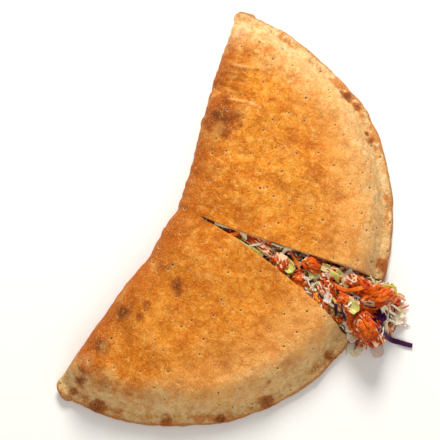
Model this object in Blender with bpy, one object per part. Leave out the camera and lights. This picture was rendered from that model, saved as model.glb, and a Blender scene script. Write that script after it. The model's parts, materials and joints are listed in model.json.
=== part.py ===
"""A calzone: one disc of dough folded over its filling, its rim pressed shut, baked, then cut once
from the middle of the rim almost to the fold and fanned open on the dough that is left there.

Every length is in metres. +Z is up, the cut opens towards -Y, and the fold runs along X behind it.
Each half is worked out in its own frame, with x away from the cut, and mirrored to its side."""

import bpy
import bmesh
from math import cos, exp, hypot, pi, radians, sin, sqrt
from mathutils import Matrix, Vector

# Dough
DISC_RADIUS = 0.160
CROWN = 0.0300          # height of a half over its filling
DOUGH = 0.0045          # one baked layer
SEAM_WIDTH = 0.0080     # the pressed rim
SEAM_THICKNESS = 0.0058
SEAM_ROUND = 0.0025     # rounding of the rim's outer edge
RISE_WIDTH = 0.0260     # from the pressed rim up to the crown
RISE_POWER = 2.4
FOLD_EDGE = 0.0110      # height at which the fold stands out furthest
FOLD_TOP_ROUND = 0.020
FOLD_BASE_ROUND = 0.008
RISE_EASE = 0.05        # how softly that rise starts
LUMP = 0.0009           # swell of the dough over the pieces of filling
LUMP_WAVES = (92, 78, 61, 104)      # its wave numbers, per metre
LUMP_PHASE = 1.3
LUMP_SECOND = 0.7       # height of the second swell, as a share of the first

# Cut
HINGE = 0.019           # uncut dough between the fold and the end of the cut
GAP = 0.0006            # clearance between the filling and the dough
INNER_SEAM = 0.0120     # from the rim's edge to the start of the hollow
FILLING_SEAM = 0.0160   # from the rim's edge to the start of the filling
FOLD_CLEAR = 0.0004     # how much thicker the dough is at the fold than elsewhere
SLOPE_SHIFT = 0.75      # how far the hollow's slopes lie inside the outer ones, in its own depths
HOLLOW_LEAST = 0.0022   # least height of the hollow between the two layers
HOLLOW_SECTIONS = 19    # sections that the hollow runs through, from the cut

# Each half: its side, the angles of its cut corner and of its fold from -Y, how far its cut edge
# bows into the gap, and the places, widths and depths of the dips in its rim and in its fold.
HALVES = (
    {
        "side": 1, "corner": radians(7.8), "fold": radians(101.2), "bow": 0.0020,
        "rim_dip": (0.70, 0.13, 0.0026), "rim_swell": 0.0020,
        "fold_dip": (0.62, 0.24, -0.0022),
    },
    {
        "side": -1, "corner": radians(10.4), "fold": radians(97.3), "bow": 0.0045,
        "rim_dip": (0.58, 0.08, 0.0012), "rim_swell": 0.0022,
        "fold_dip": (0.26, 0.12, 0.0034),
    },
)
STEPS = 24              # sections from the cut to the tip
TIP_INSET = 0.0080      # from the rim's circle back to the fold's end of the last section
TIP_ANGLE = radians(5.6)
TIP_LENGTH = 0.0065     # the rounded knob past the last section
TIP_RINGS = ((0.80, 0.60), (0.42, 0.92))    # its rings: size, and place along it

# Section lines: distances from the fold, and from the rim, that every section passes through.
FOLD_LINES = (0.0, 0.0012, 0.0040, 0.0090, HINGE)
RIM_LINES = (0.034, 0.026, 0.019, 0.014, 0.0105, SEAM_WIDTH, 0.002, 0.0)
MIDDLE_LINES = 3
MIDDLE_ROOM = 0.010     # least room kept for the middle lines on a short section

# Filling in the cut and past the rim
HEAP_START = 0.030      # distance from the fold at which the filling comes level with the cut
HEAP_HEIGHT = 0.0225
HEAP_SIDE = 0.0009      # clearance between the heap and the cut faces
HEAP_EDGE = 0.0035      # thickness at the outline of what has spilled
HEAP_LUMP = 0.0016
HEAP_WAVES = (310, 240, 420, 150)   # its wave numbers, per metre
HEAP_SECOND = 0.6       # height of the second lump, as a share of the first
HEAP_DIP = 0.0040       # how much lower the heap starts, next to the hinge
HEAP_DIP_RUN = 0.012
SHOULDER = 0.0110       # how much lower the filling lies at the corners of the mouth
SHOULDER_START = 0.138
HEAP_ROWS = 11
HEAP_COLUMNS = 7
MOUTH = 0.1616          # distance from the fold to the mouth, just clear of the rim
SPILL_CENTRE = (-0.006, -0.1650)
SPILL_SIZE = (0.0325, 0.0270)
SPILL_ROWS = 6
SPILL_START = 0.1645    # distance from the fold at which the spill reaches its full width
SPILL_WAVE = 0.06       # unevenness of the spill's outline
SPILL_TURN = 2.6        # radians of that unevenness from one row to the next
SPILL_DOME = 0.8        # power of the dome's fall towards its outline
SPILL_SPREAD = 0.8      # power of the rows' spacing
SPILL_END = 0.97        # the last row, as a share of the spill's depth

# Large pieces of chicken: place, length, width, height and turn, from the hinge outwards.
CHICKEN = (
    (0.0008, -0.0680, 0.0200, 0.0100, 0.0100, 78),
    (-0.0028, -0.0870, 0.0150, 0.0110, 0.0100, 35),
    (-0.0068, -0.1050, 0.0130, 0.0110, 0.0110, 100),
    (0.0050, -0.1060, 0.0130, 0.0090, 0.0100, 80),
    (0.0075, -0.1230, 0.0140, 0.0110, 0.0110, 95),
    (-0.0060, -0.1260, 0.0150, 0.0110, 0.0110, 60),
    (-0.0090, -0.1430, 0.0140, 0.0110, 0.0120, 110),
    (0.0090, -0.1440, 0.0170, 0.0110, 0.0110, 60),
    (0.0080, -0.1630, 0.0220, 0.0170, 0.0160, 120),
    (-0.0170, -0.1660, 0.0230, 0.0180, 0.0170, 70),
)
CHICKEN_SINK = 0.45     # share of a piece's height that lies in the filling
CHICKEN_DETAIL = 2
CHICKEN_SWELL = (0.09, 0.06)        # unevenness of a piece, as shares of its size
CHICKEN_WAVES = (5, 4, 6)
CHICKEN_PHASE = 2.1     # radians from one piece to the next
CLEARANCE = 0.0004

# The strip of red cabbage that lies on the surface: its ends, width and thickness.
STRIP_START = (-0.0190, -0.1800)
STRIP_END = (-0.0088, -0.2008)
STRIP_WIDTH = 0.0030
STRIP_THICKNESS = 0.0022
STRIP_BOW = 0.0016
STRIP_TAPER = 0.3       # how much narrower it is at its far end
STRIP_POINTS = 7

SHARP_ANGLE = radians(45)
MERGE_DISTANCE = 0.00002
SHORTEST_EDGE = 0.00001

# Centre of the finished part's footprint, which becomes the origin.
FOOTPRINT_CENTRE = (-0.0007, -0.0853)


def remove_everything():
    for item in list(bpy.data.objects):
        bpy.data.objects.remove(item, do_unlink=True)


def plain_material(name, colour, roughness):
    """A Principled material of one colour; food has no metal in it."""
    material = bpy.data.materials.new(name)
    material.use_nodes = True
    shader = material.node_tree.nodes["Principled BSDF"]
    shader.inputs["Base Color"].default_value = (*colour, 1.0)
    shader.inputs["Roughness"].default_value = roughness
    shader.inputs["Metallic"].default_value = 0.0
    return material


def clamp(value):
    return min(max(value, 0.0), 1.0)


def quarter_round(distance, width):
    """0 at an edge, 1 at `width` from it, along a quarter ellipse."""
    return sqrt(1.0 - (1.0 - clamp(distance / width)) ** 2)


def bump(value, centre, width):
    return exp(-(((value - centre) / width) ** 2))


# --- The outline of one half ---------------------------------------------------------------------

def rim_radius(half, angle):
    """Distance from the bend of the fold to the rim, at an angle from the cut."""
    share = (angle - half["corner"]) / (half["fold"] - half["corner"])
    centre, width, depth = half["rim_dip"]
    return DISC_RADIUS + half["rim_swell"] - depth * bump(share, centre, width)


def fold_offset(half, along):
    """How far the fold's edge lies inside the straight line from the bend to the tip."""
    centre, width, depth = half["fold_dip"]
    share = clamp(along / DISC_RADIUS)
    return depth * bump(share, centre, width) * sin(pi * share)


def rim_point(half, angle):
    radius = rim_radius(half, angle)
    return Vector((radius * sin(angle), -radius * cos(angle)))


def fold_point(half, along):
    outward = Vector((sin(half["fold"]), -cos(half["fold"])))
    inward = Vector((outward.y, -outward.x))
    return outward * along + inward * fold_offset(half, along)


def edge_distances(half, point):
    """Distances of a point from the fold's edge and from the rim's edge."""
    radius = hypot(point.x, point.y)
    outward = Vector((sin(half["fold"]), -cos(half["fold"])))
    along = point.dot(outward)
    across = point.x * outward.y - point.y * outward.x
    from_fold = across - fold_offset(half, along) if along > 0 else radius
    if radius == 0:
        return 0.0, DISC_RADIUS
    angle = Vector((0.0, -1.0)).angle(point)
    return max(from_fold, 0.0), max(rim_radius(half, angle) - radius, 0.0)


def cut_edge(half, distance):
    """A point on the line of the cut: down the hinge, then to the corner with a slight bow."""
    if distance <= HINGE:
        return Vector((0.0, -distance))
    end = Vector((0.0, -HINGE))
    corner = rim_point(half, half["corner"])
    length = HINGE + (corner - end).length
    share = clamp((distance - HINGE) / (length - HINGE))
    run = (corner - end).normalized()
    into_gap = Vector((run.y, -run.x))
    return end.lerp(corner, share) + into_gap * half["bow"] * 4 * share * (1 - share)


def cut_length(half):
    return HINGE + (rim_point(half, half["corner"]) - Vector((0.0, -HINGE))).length


# --- Heights --------------------------------------------------------------------------------------

def lumps(x, y):
    """The low swells of a sheet of dough that lies over uneven filling."""
    across, along, second_along, second_across = LUMP_WAVES
    first = sin(across * x + LUMP_PHASE) * cos(along * y)
    return LUMP * (first + LUMP_SECOND * sin(second_along * y - second_across * x))


def edge_height(from_rim):
    """Height of the outline's widest line: the middle of the seam, or the bulge of the fold."""
    base = SEAM_THICKNESS + (FOLD_EDGE - SEAM_THICKNESS) * clamp(from_rim / RISE_WIDTH)
    middle = SEAM_THICKNESS / 2
    return middle + (base - middle) * quarter_round(from_rim, SEAM_ROUND)


def rise(from_rim):
    share = clamp((from_rim - SEAM_WIDTH) / RISE_WIDTH)
    eased = (1 + RISE_EASE) * share * share / (share + RISE_EASE)
    return 1.0 - (1.0 - eased) ** RISE_POWER


def top_height(from_fold, from_rim, x, y):
    low = edge_height(from_rim)
    share = quarter_round(from_fold, FOLD_TOP_ROUND) * rise(from_rim)
    return low + (CROWN + lumps(x, y) - low) * share


def base_height(from_fold, from_rim):
    fold = quarter_round(from_fold, FOLD_BASE_ROUND)
    rim = quarter_round(from_rim, SEAM_ROUND)
    return edge_height(from_rim) * (1 - fold) + SEAM_THICKNESS / 2 * (1 - rim) * fold


# --- Sections -------------------------------------------------------------------------------------

def line_places(length):
    """Where the section lines cross one section, measured from the fold."""
    room = min(1.0, length / (FOLD_LINES[-1] + RIM_LINES[0] + MIDDLE_ROOM))
    near = [room * line for line in FOLD_LINES]
    far = [length - room * line for line in RIM_LINES]
    step = (far[0] - near[-1]) / (MIDDLE_LINES + 1)
    return near + [near[-1] + step * (i + 1) for i in range(MIDDLE_LINES)] + far


def inset_places(places, fold_inset, rim_inset):
    """The same lines drawn in from both ends, leaving the end of the hinge where it is."""
    hinge = places[len(FOLD_LINES) - 1]
    shoulder = places[-len(RIM_LINES)]
    length = places[-1]
    room = hinge / HINGE
    moved = []
    for place in places:
        if place <= hinge:
            place = room * fold_inset + (hinge - room * fold_inset) * place / hinge
        elif place > shoulder:
            end = length - room * rim_inset
            place = shoulder + (end - shoulder) * (place - shoulder) / (length - shoulder)
        moved.append(place)
    return moved


def section_ends(half, u):
    """The fold's end and the rim's end of the section at share `u` from the cut to the tip."""
    angle = half["corner"] + u * (half["fold"] - TIP_ANGLE - half["corner"])
    return fold_point(half, u * (DISC_RADIUS - TIP_INSET)), rim_point(half, angle)


def plan_point(half, u, place, length):
    """A point of the section at share `u` from the cut to the tip, `place` from the fold."""
    start, end = section_ends(half, u)
    straight = start.lerp(end, place / length)
    along_cut = place / length * cut_length(half)
    corner = rim_point(half, half["corner"])
    bend = cut_edge(half, along_cut) - corner * (along_cut / cut_length(half))
    return straight + bend * (1 - u) ** 3


def section_length(half, u):
    if u == 0:
        return cut_length(half)
    start, end = section_ends(half, u)
    return (end - start).length


def section(half, u, layer):
    """One closed loop of points: over the top from the fold to the rim, and back underneath.

    `layer` is 0 for the outside of the dough, and the depth below it for the hollow or filling."""
    length = section_length(half, u)
    places = line_places(length)
    if layer:
        rim_inset = INNER_SEAM if layer == DOUGH else FILLING_SEAM
        places = inset_places(places, layer + FOLD_CLEAR, rim_inset)
    tops = []
    bases = []
    for place in places:
        point = plan_point(half, u, place, length)
        from_fold, from_rim = edge_distances(half, point)
        x = half["side"] * point.x
        if layer:
            shift = SLOPE_SHIFT * layer
            over = top_height(max(from_fold - shift, 0), max(from_rim - shift, 0), x, point.y)
            base = layer
            least = HOLLOW_LEAST - 2 * (layer - DOUGH)
            top = base + max(over - 2 * layer, least)
        else:
            base = base_height(from_fold, from_rim)
            top = top_height(from_fold, from_rim, x, point.y)
        tops.append(Vector((x, point.y, top)))
        bases.append(Vector((x, point.y, base)))
    tops[0] = (tops[0] + bases[0]) / 2
    tops[-1] = (tops[-1] + bases[-1]) / 2
    return tops + bases[-2:0:-1]


def add_loop(mesh, points):
    return [mesh.verts.new(point) for point in points]


def join_loops(mesh, first, second, keep=None):
    """Quads between two loops; `keep` picks the positions along the loop that get one."""
    count = len(first)
    for i in range(count):
        j = (i + 1) % count
        if keep is None or (i in keep and j in keep):
            mesh.faces.new((first[i], first[j], second[j], second[i]))


def close_end(mesh, loop, reach):
    """Round a tube's end off to a point `reach` past its last loop."""
    middle = sum((vertex.co for vertex in loop), Vector()) / len(loop)
    across = loop[0].co - loop[len(loop) // 2].co
    outward = Vector((across.y, -across.x, 0)).normalized()
    if outward.dot(middle) < 0:
        outward = -outward
    for size, along in TIP_RINGS if reach else ():
        points = [middle + (v.co - middle) * size + outward * reach * along for v in loop]
        following = add_loop(mesh, points)
        join_loops(mesh, loop, following)
        loop = following
    tip = mesh.verts.new(middle + outward * reach)
    for i, vertex in enumerate(loop):
        mesh.faces.new((vertex, loop[(i + 1) % len(loop)], tip))


def tube(mesh, half, layer, last, reach):
    """The skin of one half at one depth, from the cut to section `last`, and its first loop."""
    loops = [add_loop(mesh, section(half, i / STEPS, layer)) for i in range(last + 1)]
    for first, second in zip(loops, loops[1:]):
        join_loops(mesh, first, second)
    close_end(mesh, loops[-1], reach)
    return loops[0]


def finish_mesh(mesh, name):
    bmesh.ops.remove_doubles(mesh, verts=mesh.verts, dist=MERGE_DISTANCE)
    bmesh.ops.dissolve_degenerate(mesh, edges=mesh.edges, dist=SHORTEST_EDGE)
    bmesh.ops.triangulate(mesh, faces=mesh.faces)
    bmesh.ops.recalc_face_normals(mesh, faces=mesh.faces)
    data = bpy.data.meshes.new(name)
    mesh.to_mesh(data)
    mesh.free()
    return data


def add_object(name, data, material):
    item = bpy.data.objects.new(name, data)
    bpy.context.scene.collection.objects.link(item)
    item.location = (-FOOTPRINT_CENTRE[0], -FOOTPRINT_CENTRE[1], 0.0)
    data.materials.append(material)
    data.shade_smooth()
    data.set_sharp_from_angle(angle=SHARP_ANGLE)
    return item


def open_positions():
    """Positions round a section's loop that lie past the end of the hinge, on the cut itself."""
    hinge = len(FOLD_LINES) - 1
    lines = len(FOLD_LINES) + MIDDLE_LINES + len(RIM_LINES)
    count = 2 * lines - 2
    return set(range(hinge, count - hinge + 1))


def make_crust():
    """Both halves as one shell: an outer skin, the skin of the hollow, and the cut faces between."""
    mesh = bmesh.new()
    for half in HALVES:
        outside = tube(mesh, half, 0, STEPS, TIP_LENGTH)
        inside = tube(mesh, half, DOUGH, HOLLOW_SECTIONS, 0.0)
        join_loops(mesh, outside, inside, open_positions())
    data = finish_mesh(mesh, "crust")
    return add_object("crust", data, plain_material("baked dough", (0.78, 0.38, 0.12), 0.6))


# --- Filling --------------------------------------------------------------------------------------

def make_filling_core():
    """The filling inside both halves, carried across the cut at the height of the hollow."""
    mesh = bmesh.new()
    first = [tube(mesh, half, DOUGH + GAP, HOLLOW_SECTIONS - 1, 0.0) for half in HALVES]
    join_loops(mesh, first[0], first[1], open_positions())
    return finish_mesh(mesh, "filling_core")


def heap_height(x, y, edge=0.0):
    """Top of the filling in the cut, `edge` of the way to a cut face, and its fall past the rim."""
    across, along, second_along, second_across = HEAP_WAVES
    first = sin(across * x + 1.0) * cos(along * y)
    swell = HEAP_LUMP * (first + HEAP_SECOND * sin(second_along * y + second_across * x))
    if -y < SPILL_START:
        start = clamp((-y - HEAP_START) / HEAP_DIP_RUN)
        fall = clamp((-y - SHOULDER_START) / (MOUTH - SHOULDER_START))
        return HEAP_HEIGHT - HEAP_DIP * (1 - start) - SHOULDER * fall * edge ** 2 + swell
    across = (x - SPILL_CENTRE[0]) / SPILL_SIZE[0]
    out = (y - SPILL_CENTRE[1]) / SPILL_SIZE[1]
    left = clamp(1 - across * across - out * out)
    return HEAP_EDGE + (HEAP_HEIGHT - HEAP_EDGE + swell) * left ** SPILL_DOME


def heap_row(left, right):
    """Top and bottom points across the heap, from its left edge to its right edge."""
    points = []
    for i in range(HEAP_COLUMNS + 1):
        place = left.lerp(right, i / HEAP_COLUMNS)
        height = heap_height(place.x, place.y, abs(2 * i / HEAP_COLUMNS - 1))
        points.append(Vector((place.x, place.y, height)))
    return points + [Vector((point.x, point.y, 0.0)) for point in reversed(points)]


def make_heap():
    """The filling that stands in the cut and spills out of its mouth."""
    mesh = bmesh.new()
    rows = []
    for i in range(HEAP_ROWS):
        edges = []
        for half in HALVES:
            share = i / (HEAP_ROWS - 1)
            point = cut_edge(half, HEAP_START + (cut_length(half) - HEAP_START) * share)
            point.x = half["side"] * (point.x - HEAP_SIDE)
            edges.append(point)
        rows.append(heap_row(edges[1], edges[0]))
    rows.append(heap_row(Vector((edges[1].x, -MOUTH)), Vector((edges[0].x, -MOUTH))))
    centre = Vector(SPILL_CENTRE)
    last = SPILL_CENTRE[1] - SPILL_END * SPILL_SIZE[1]
    for i in range(SPILL_ROWS):
        y = -SPILL_START + (last + SPILL_START) * (i / (SPILL_ROWS - 1)) ** SPILL_SPREAD
        wide = SPILL_SIZE[0] * sqrt(1 - min(((y - centre.y) / SPILL_SIZE[1]) ** 2, 1.0))
        wide *= 1 + SPILL_WAVE * sin(SPILL_TURN * i)
        rows.append(heap_row(Vector((centre.x - wide, y)), Vector((centre.x + wide, y))))
    loops = [add_loop(mesh, row) for row in rows]
    for first, second in zip(loops, loops[1:]):
        join_loops(mesh, first, second)
    mesh.faces.new(loops[0])
    mesh.faces.new(loops[-1])
    return finish_mesh(mesh, "filling_heap")


def hidden_object(name, data):
    item = bpy.data.objects.new(name, data)
    bpy.context.scene.collection.objects.link(item)
    item.location = (-FOOTPRINT_CENTRE[0], -FOOTPRINT_CENTRE[1], 0.0)
    item.hide_render = True
    item.display_type = "WIRE"
    return item


def boolean(item, other, operation):
    modifier = item.modifiers.new(other.name, "BOOLEAN")
    modifier.operation = operation
    modifier.solver = "EXACT"
    modifier.object = other


# --- Loose pieces ---------------------------------------------------------------------------------

def chicken_mesh(name, number, grown):
    """A torn chunk: a round lump pulled out of shape, `grown` for the pocket that it lies in."""
    x, y, length, width, height, turn = CHICKEN[number]
    broad, narrow = CHICKEN_SWELL
    waves = CHICKEN_WAVES
    mesh = bmesh.new()
    bmesh.ops.create_icosphere(mesh, subdivisions=CHICKEN_DETAIL, radius=1.0)
    for vertex in mesh.verts:
        a, b, c = vertex.co
        swell = 1 + broad * sin(waves[0] * a + CHICKEN_PHASE * number) * cos(waves[1] * b)
        swell += narrow * sin(waves[2] * c + number)
        size = Vector((length / 2 + grown, width / 2 + grown, height / 2 + grown))
        vertex.co = Vector((a * size.x, b * size.y, c * size.z)) * swell
    z = heap_height(x, y) + height * (0.5 - CHICKEN_SINK)
    place = Matrix.Translation((x, y, z)) @ Matrix.Rotation(radians(turn), 4, "Z")
    bmesh.ops.transform(mesh, matrix=place, verts=mesh.verts)
    return finish_mesh(mesh, name)


def strip_mesh(name, grown):
    """A long shred of red cabbage, square in section and slightly bowed, lying on the surface."""
    mesh = bmesh.new()
    start = Vector(STRIP_START)
    end = Vector(STRIP_END)
    run = (end - start).normalized()
    side = Vector((run.y, -run.x))
    loops = []
    for i in range(STRIP_POINTS):
        share = i / (STRIP_POINTS - 1)
        stretch = grown * (2 * share - 1)
        middle = start.lerp(end, share) + run * stretch + side * STRIP_BOW * sin(pi * share)
        half_width = STRIP_WIDTH / 2 * (1 - STRIP_TAPER * share) + grown
        corners = []
        for across, z in ((-1, 0.0), (1, 0.0), (1, 1.0), (-1, 1.0)):
            point = middle + side * across * half_width
            height = z * (STRIP_THICKNESS + grown)
            corners.append(Vector((point.x, point.y, height - (grown if z == 0.0 else 0.0))))
        loops.append(add_loop(mesh, corners))
    for first, second in zip(loops, loops[1:]):
        join_loops(mesh, first, second)
    mesh.faces.new(loops[0])
    mesh.faces.new(loops[-1])
    return finish_mesh(mesh, name)


def make_filling():
    """One body of filling, with a pocket for each loose piece that lies in it."""
    stuffing = plain_material("chicken and cabbage filling", (0.80, 0.55, 0.30), 0.5)
    filling = add_object("filling", make_filling_core(), stuffing)
    boolean(filling, hidden_object("heap", make_heap()), "UNION")
    chicken = plain_material("roast chicken", (0.75, 0.22, 0.05), 0.45)
    for number in range(len(CHICKEN)):
        name = f"chicken_{number + 1}"
        add_object(name, chicken_mesh(name, number, 0.0), chicken)
        pocket = hidden_object(f"pocket_{number + 1}", chicken_mesh(name, number, CLEARANCE))
        boolean(filling, pocket, "DIFFERENCE")
    cabbage = plain_material("red cabbage", (0.09, 0.02, 0.12), 0.4)
    add_object("red_cabbage_strip", strip_mesh("red_cabbage_strip", 0.0), cabbage)
    slot = hidden_object("strip_slot", strip_mesh("strip_slot", CLEARANCE))
    boolean(filling, slot, "DIFFERENCE")


remove_everything()
make_crust()
make_filling()
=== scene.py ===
"""The looks of a calzone: a baked half-moon of folded dough, cut once and fanned open, with its
chicken and cabbage filling. Everything is in metres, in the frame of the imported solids."""

import json
import bmesh
import bpy
import numpy as np
from math import cos, exp, hypot, pi, radians, sin, sqrt
from mathutils import Matrix, Vector, noise
from mathutils.bvhtree import BVHTree

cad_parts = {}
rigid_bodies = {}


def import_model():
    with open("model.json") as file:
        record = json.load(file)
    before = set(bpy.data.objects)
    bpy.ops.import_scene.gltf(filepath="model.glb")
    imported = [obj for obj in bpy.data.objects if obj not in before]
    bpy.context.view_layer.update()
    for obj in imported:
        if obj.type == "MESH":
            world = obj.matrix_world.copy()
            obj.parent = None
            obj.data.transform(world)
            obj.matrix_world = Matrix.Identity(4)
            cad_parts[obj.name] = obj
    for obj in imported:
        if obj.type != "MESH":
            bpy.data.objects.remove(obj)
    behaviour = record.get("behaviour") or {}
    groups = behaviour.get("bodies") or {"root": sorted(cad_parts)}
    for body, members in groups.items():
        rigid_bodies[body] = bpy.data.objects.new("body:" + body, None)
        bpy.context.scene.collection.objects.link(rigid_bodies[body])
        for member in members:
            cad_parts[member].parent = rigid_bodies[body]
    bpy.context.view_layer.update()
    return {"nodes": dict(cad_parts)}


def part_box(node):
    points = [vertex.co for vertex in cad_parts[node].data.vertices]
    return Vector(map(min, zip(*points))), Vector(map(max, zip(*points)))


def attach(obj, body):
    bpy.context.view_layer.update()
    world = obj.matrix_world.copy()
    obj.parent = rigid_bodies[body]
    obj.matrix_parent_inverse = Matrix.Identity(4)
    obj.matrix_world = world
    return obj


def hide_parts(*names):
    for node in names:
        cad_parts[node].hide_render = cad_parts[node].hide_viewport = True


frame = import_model()


# --- The dough ------------------------------------------------------------------------------------
# One disc of bread dough, rolled thin, folded over the filling, pressed shut along its rim, pricked
# and baked. A single cut goes through both layers from the rim almost to the fold, and the halves
# are fanned open on the dough that is left there. The shell is one piece with a hollow inside.

MM = 0.001
BEND = Vector((0.0007, 0.0853))     # the middle of the fold, from which both halves fan out
DISC_RADIUS = 0.160
CROWN = 0.0300
DOUGH = 0.0045
SEAM_WIDTH = 0.0080
SEAM_THICKNESS = 0.0058
SEAM_ROUND = 0.0025
RISE_WIDTH = 0.0260
RISE_POWER = 2.4
RISE_EASE = 0.05
FOLD_EDGE = 0.0110
FOLD_TOP_ROUND = 0.020
FOLD_BASE_ROUND = 0.008
LUMP = 0.0009                       # height of the long swells over the whole crown
HINGE = 0.019                       # length of the fold that the cut leaves whole
INNER_SEAM = 0.0120                 # the hollow ends this far short of the rim
INNER_FOLD = 0.0004                 # and this much further from the fold than the dough is thick
HOLLOW_SHIFT = 0.75                 # how much of the thickness the hollow is drawn in by
HOLLOW_LEAST = 0.0022
TIP_INSET = 0.0080
TIP_ANGLE = radians(5.6)
TIP_LENGTH = 0.0065
TIP_RINGS = 10
CUT_FADE = 3                        # how fast the cut's bow dies away across a half
RIM_SHOULDER = 0.034                # the lines follow the rim this far in, and the fold up to HINGE
LEAST_MIDDLE = 0.010                # length kept between the shoulders, where a section has it
SECTIONS = 180                      # across each half, from the cut to the tip
SECTION_EASE = 1.05
LINE_EASE = (1.4, 1.3)              # crowding of the lines towards the fold and the rim
HOLLOW_SHARE = 0.79                 # how far the hollow runs towards a tip
HOLLOW_SECTIONS = 16
TOP_LINES = (26, 64, 40)            # lines over the fold, the crown and the rim
BASE_LINES = (14, 24, 18)
CUT_RINGS = 7                       # lines across the thickness of the cut dough
MERGE_DISTANCE = 0.000005
SHORTEST_EDGE = 0.000001

HALVES = (
    {
        "side": 1, "corner": radians(7.8), "fold": radians(101.2), "bow": 0.0020,
        "rim_dip": (0.70, 0.13, 0.0026), "rim_swell": 0.0020,
        "fold_dip": (0.62, 0.24, -0.0022),
    },
    {
        "side": -1, "corner": radians(10.4), "fold": radians(97.3), "bow": 0.0045,
        "rim_dip": (0.58, 0.08, 0.0012), "rim_swell": 0.0022,
        "fold_dip": (0.26, 0.12, 0.0034),
    },
)


def clamp(value):
    return min(max(value, 0.0), 1.0)


def quarter_round(distance, width):
    """0 at an edge, 1 at `width` from it, along a quarter ellipse."""
    return sqrt(1.0 - (1.0 - clamp(distance / width)) ** 2)


def bump(value, centre, width):
    """1 at the centre, falling off smoothly on both sides."""
    return exp(-(((value - centre) / width) ** 2))


def rim_point(half, angle):
    """A point on the rim, at an angle from the line straight down the middle of the cut."""
    share = (angle - half["corner"]) / (half["fold"] - half["corner"])
    centre, width, depth = half["rim_dip"]
    radius = DISC_RADIUS + half["rim_swell"] - depth * bump(share, centre, width)
    return Vector((radius * sin(angle), -radius * cos(angle)))


def fold_offset(half, along):
    """How far the fold wanders off its straight line, at a distance along it from the bend."""
    centre, width, depth = half["fold_dip"]
    share = clamp(along / DISC_RADIUS)
    return depth * bump(share, centre, width) * sin(pi * share)


def fold_point(half, along):
    outward = Vector((sin(half["fold"]), -cos(half["fold"])))
    return outward * along + Vector((outward.y, -outward.x)) * fold_offset(half, along)


def edge_distances(half, point):
    """Distances of a point of one half from the fold's edge and from the rim's edge."""
    radius = hypot(point.x, point.y)
    if radius == 0:
        return 0.0, DISC_RADIUS
    outward = Vector((sin(half["fold"]), -cos(half["fold"])))
    along = point.dot(outward)
    across = point.x * outward.y - point.y * outward.x
    from_fold = across - fold_offset(half, along) if along > 0 else radius
    rim = rim_point(half, Vector((0.0, -1.0)).angle(point)).length
    return max(from_fold, 0.0), max(rim - radius, 0.0)


def cut_edge(half, distance):
    """A point on the line of the cut: down the hinge, then to the corner with a slight bow."""
    if distance <= HINGE:
        return Vector((0.0, -distance))
    end = Vector((0.0, -HINGE))
    run = rim_point(half, half["corner"]) - end
    share = clamp((distance - HINGE) / run.length)
    into_gap = Vector((run.y, -run.x)).normalized()
    return end + run * share + into_gap * half["bow"] * 4 * share * (1 - share)


def cut_length(half):
    """The length from the bend to the corner, down the hinge and then straight, without the bow."""
    return HINGE + (rim_point(half, half["corner"]) - Vector((0.0, -HINGE))).length


def edge_height(from_rim):
    """The height of the dough's outer edge, low at the pressed rim and higher along the fold."""
    base = SEAM_THICKNESS + (FOLD_EDGE - SEAM_THICKNESS) * clamp(from_rim / RISE_WIDTH)
    middle = SEAM_THICKNESS / 2
    return middle + (base - middle) * quarter_round(from_rim, SEAM_ROUND)


def top_height(from_fold, from_rim, x, y):
    """The top skin: up from the pressed rim, over the crown, and round at the fold."""
    share = clamp((from_rim - SEAM_WIDTH) / RISE_WIDTH)
    rise = 1.0 - (1.0 - (1 + RISE_EASE) * share * share / (share + RISE_EASE)) ** RISE_POWER
    low = edge_height(from_rim)
    swell = LUMP * (sin(92 * x + 1.3) * cos(78 * y) + 0.7 * sin(61 * y - 104 * x))
    return low + (CROWN + swell - low) * quarter_round(from_fold, FOLD_TOP_ROUND) * rise


def base_height(from_fold, from_rim):
    """The base skin: flat, and lifted where the fold and the rim are round."""
    fold = quarter_round(from_fold, FOLD_BASE_ROUND)
    rim = quarter_round(from_rim, SEAM_ROUND)
    return edge_height(from_rim) * (1 - fold) + SEAM_THICKNESS / 2 * (1 - rim) * fold


def shoulder_room(length):
    """How much of its full length each shoulder has on a section, which is short near the tip."""
    return min(1.0, length / (HINGE + RIM_SHOULDER + LEAST_MIDDLE))


def line_places(length, lines):
    """Where the lines of the skin cross one section, closer together at the fold and the rim."""
    room = shoulder_room(length)
    near = [room * HINGE * (i / lines[0]) ** LINE_EASE[0] for i in range(lines[0])]
    start = room * HINGE
    end = length - room * RIM_SHOULDER
    middle = [start + (end - start) * i / lines[1] for i in range(lines[1])]
    far = [length - room * RIM_SHOULDER * (1 - i / lines[2]) ** LINE_EASE[1] for i in range(lines[2] + 1)]
    return near + middle + far


def inset_places(places, fold_inset, rim_inset, room):
    """The same lines drawn in from both ends, leaving the end of the hinge where it is."""
    hinge = room * HINGE
    length = places[-1]
    shoulder = length - room * RIM_SHOULDER
    moved = []
    for place in places:
        if place <= hinge:
            place = fold_inset + (hinge - fold_inset) * place / hinge
        elif place > shoulder:
            place = shoulder + (length - rim_inset - shoulder) * (place - shoulder) / (length - shoulder)
        moved.append(place)
    return moved


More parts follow.
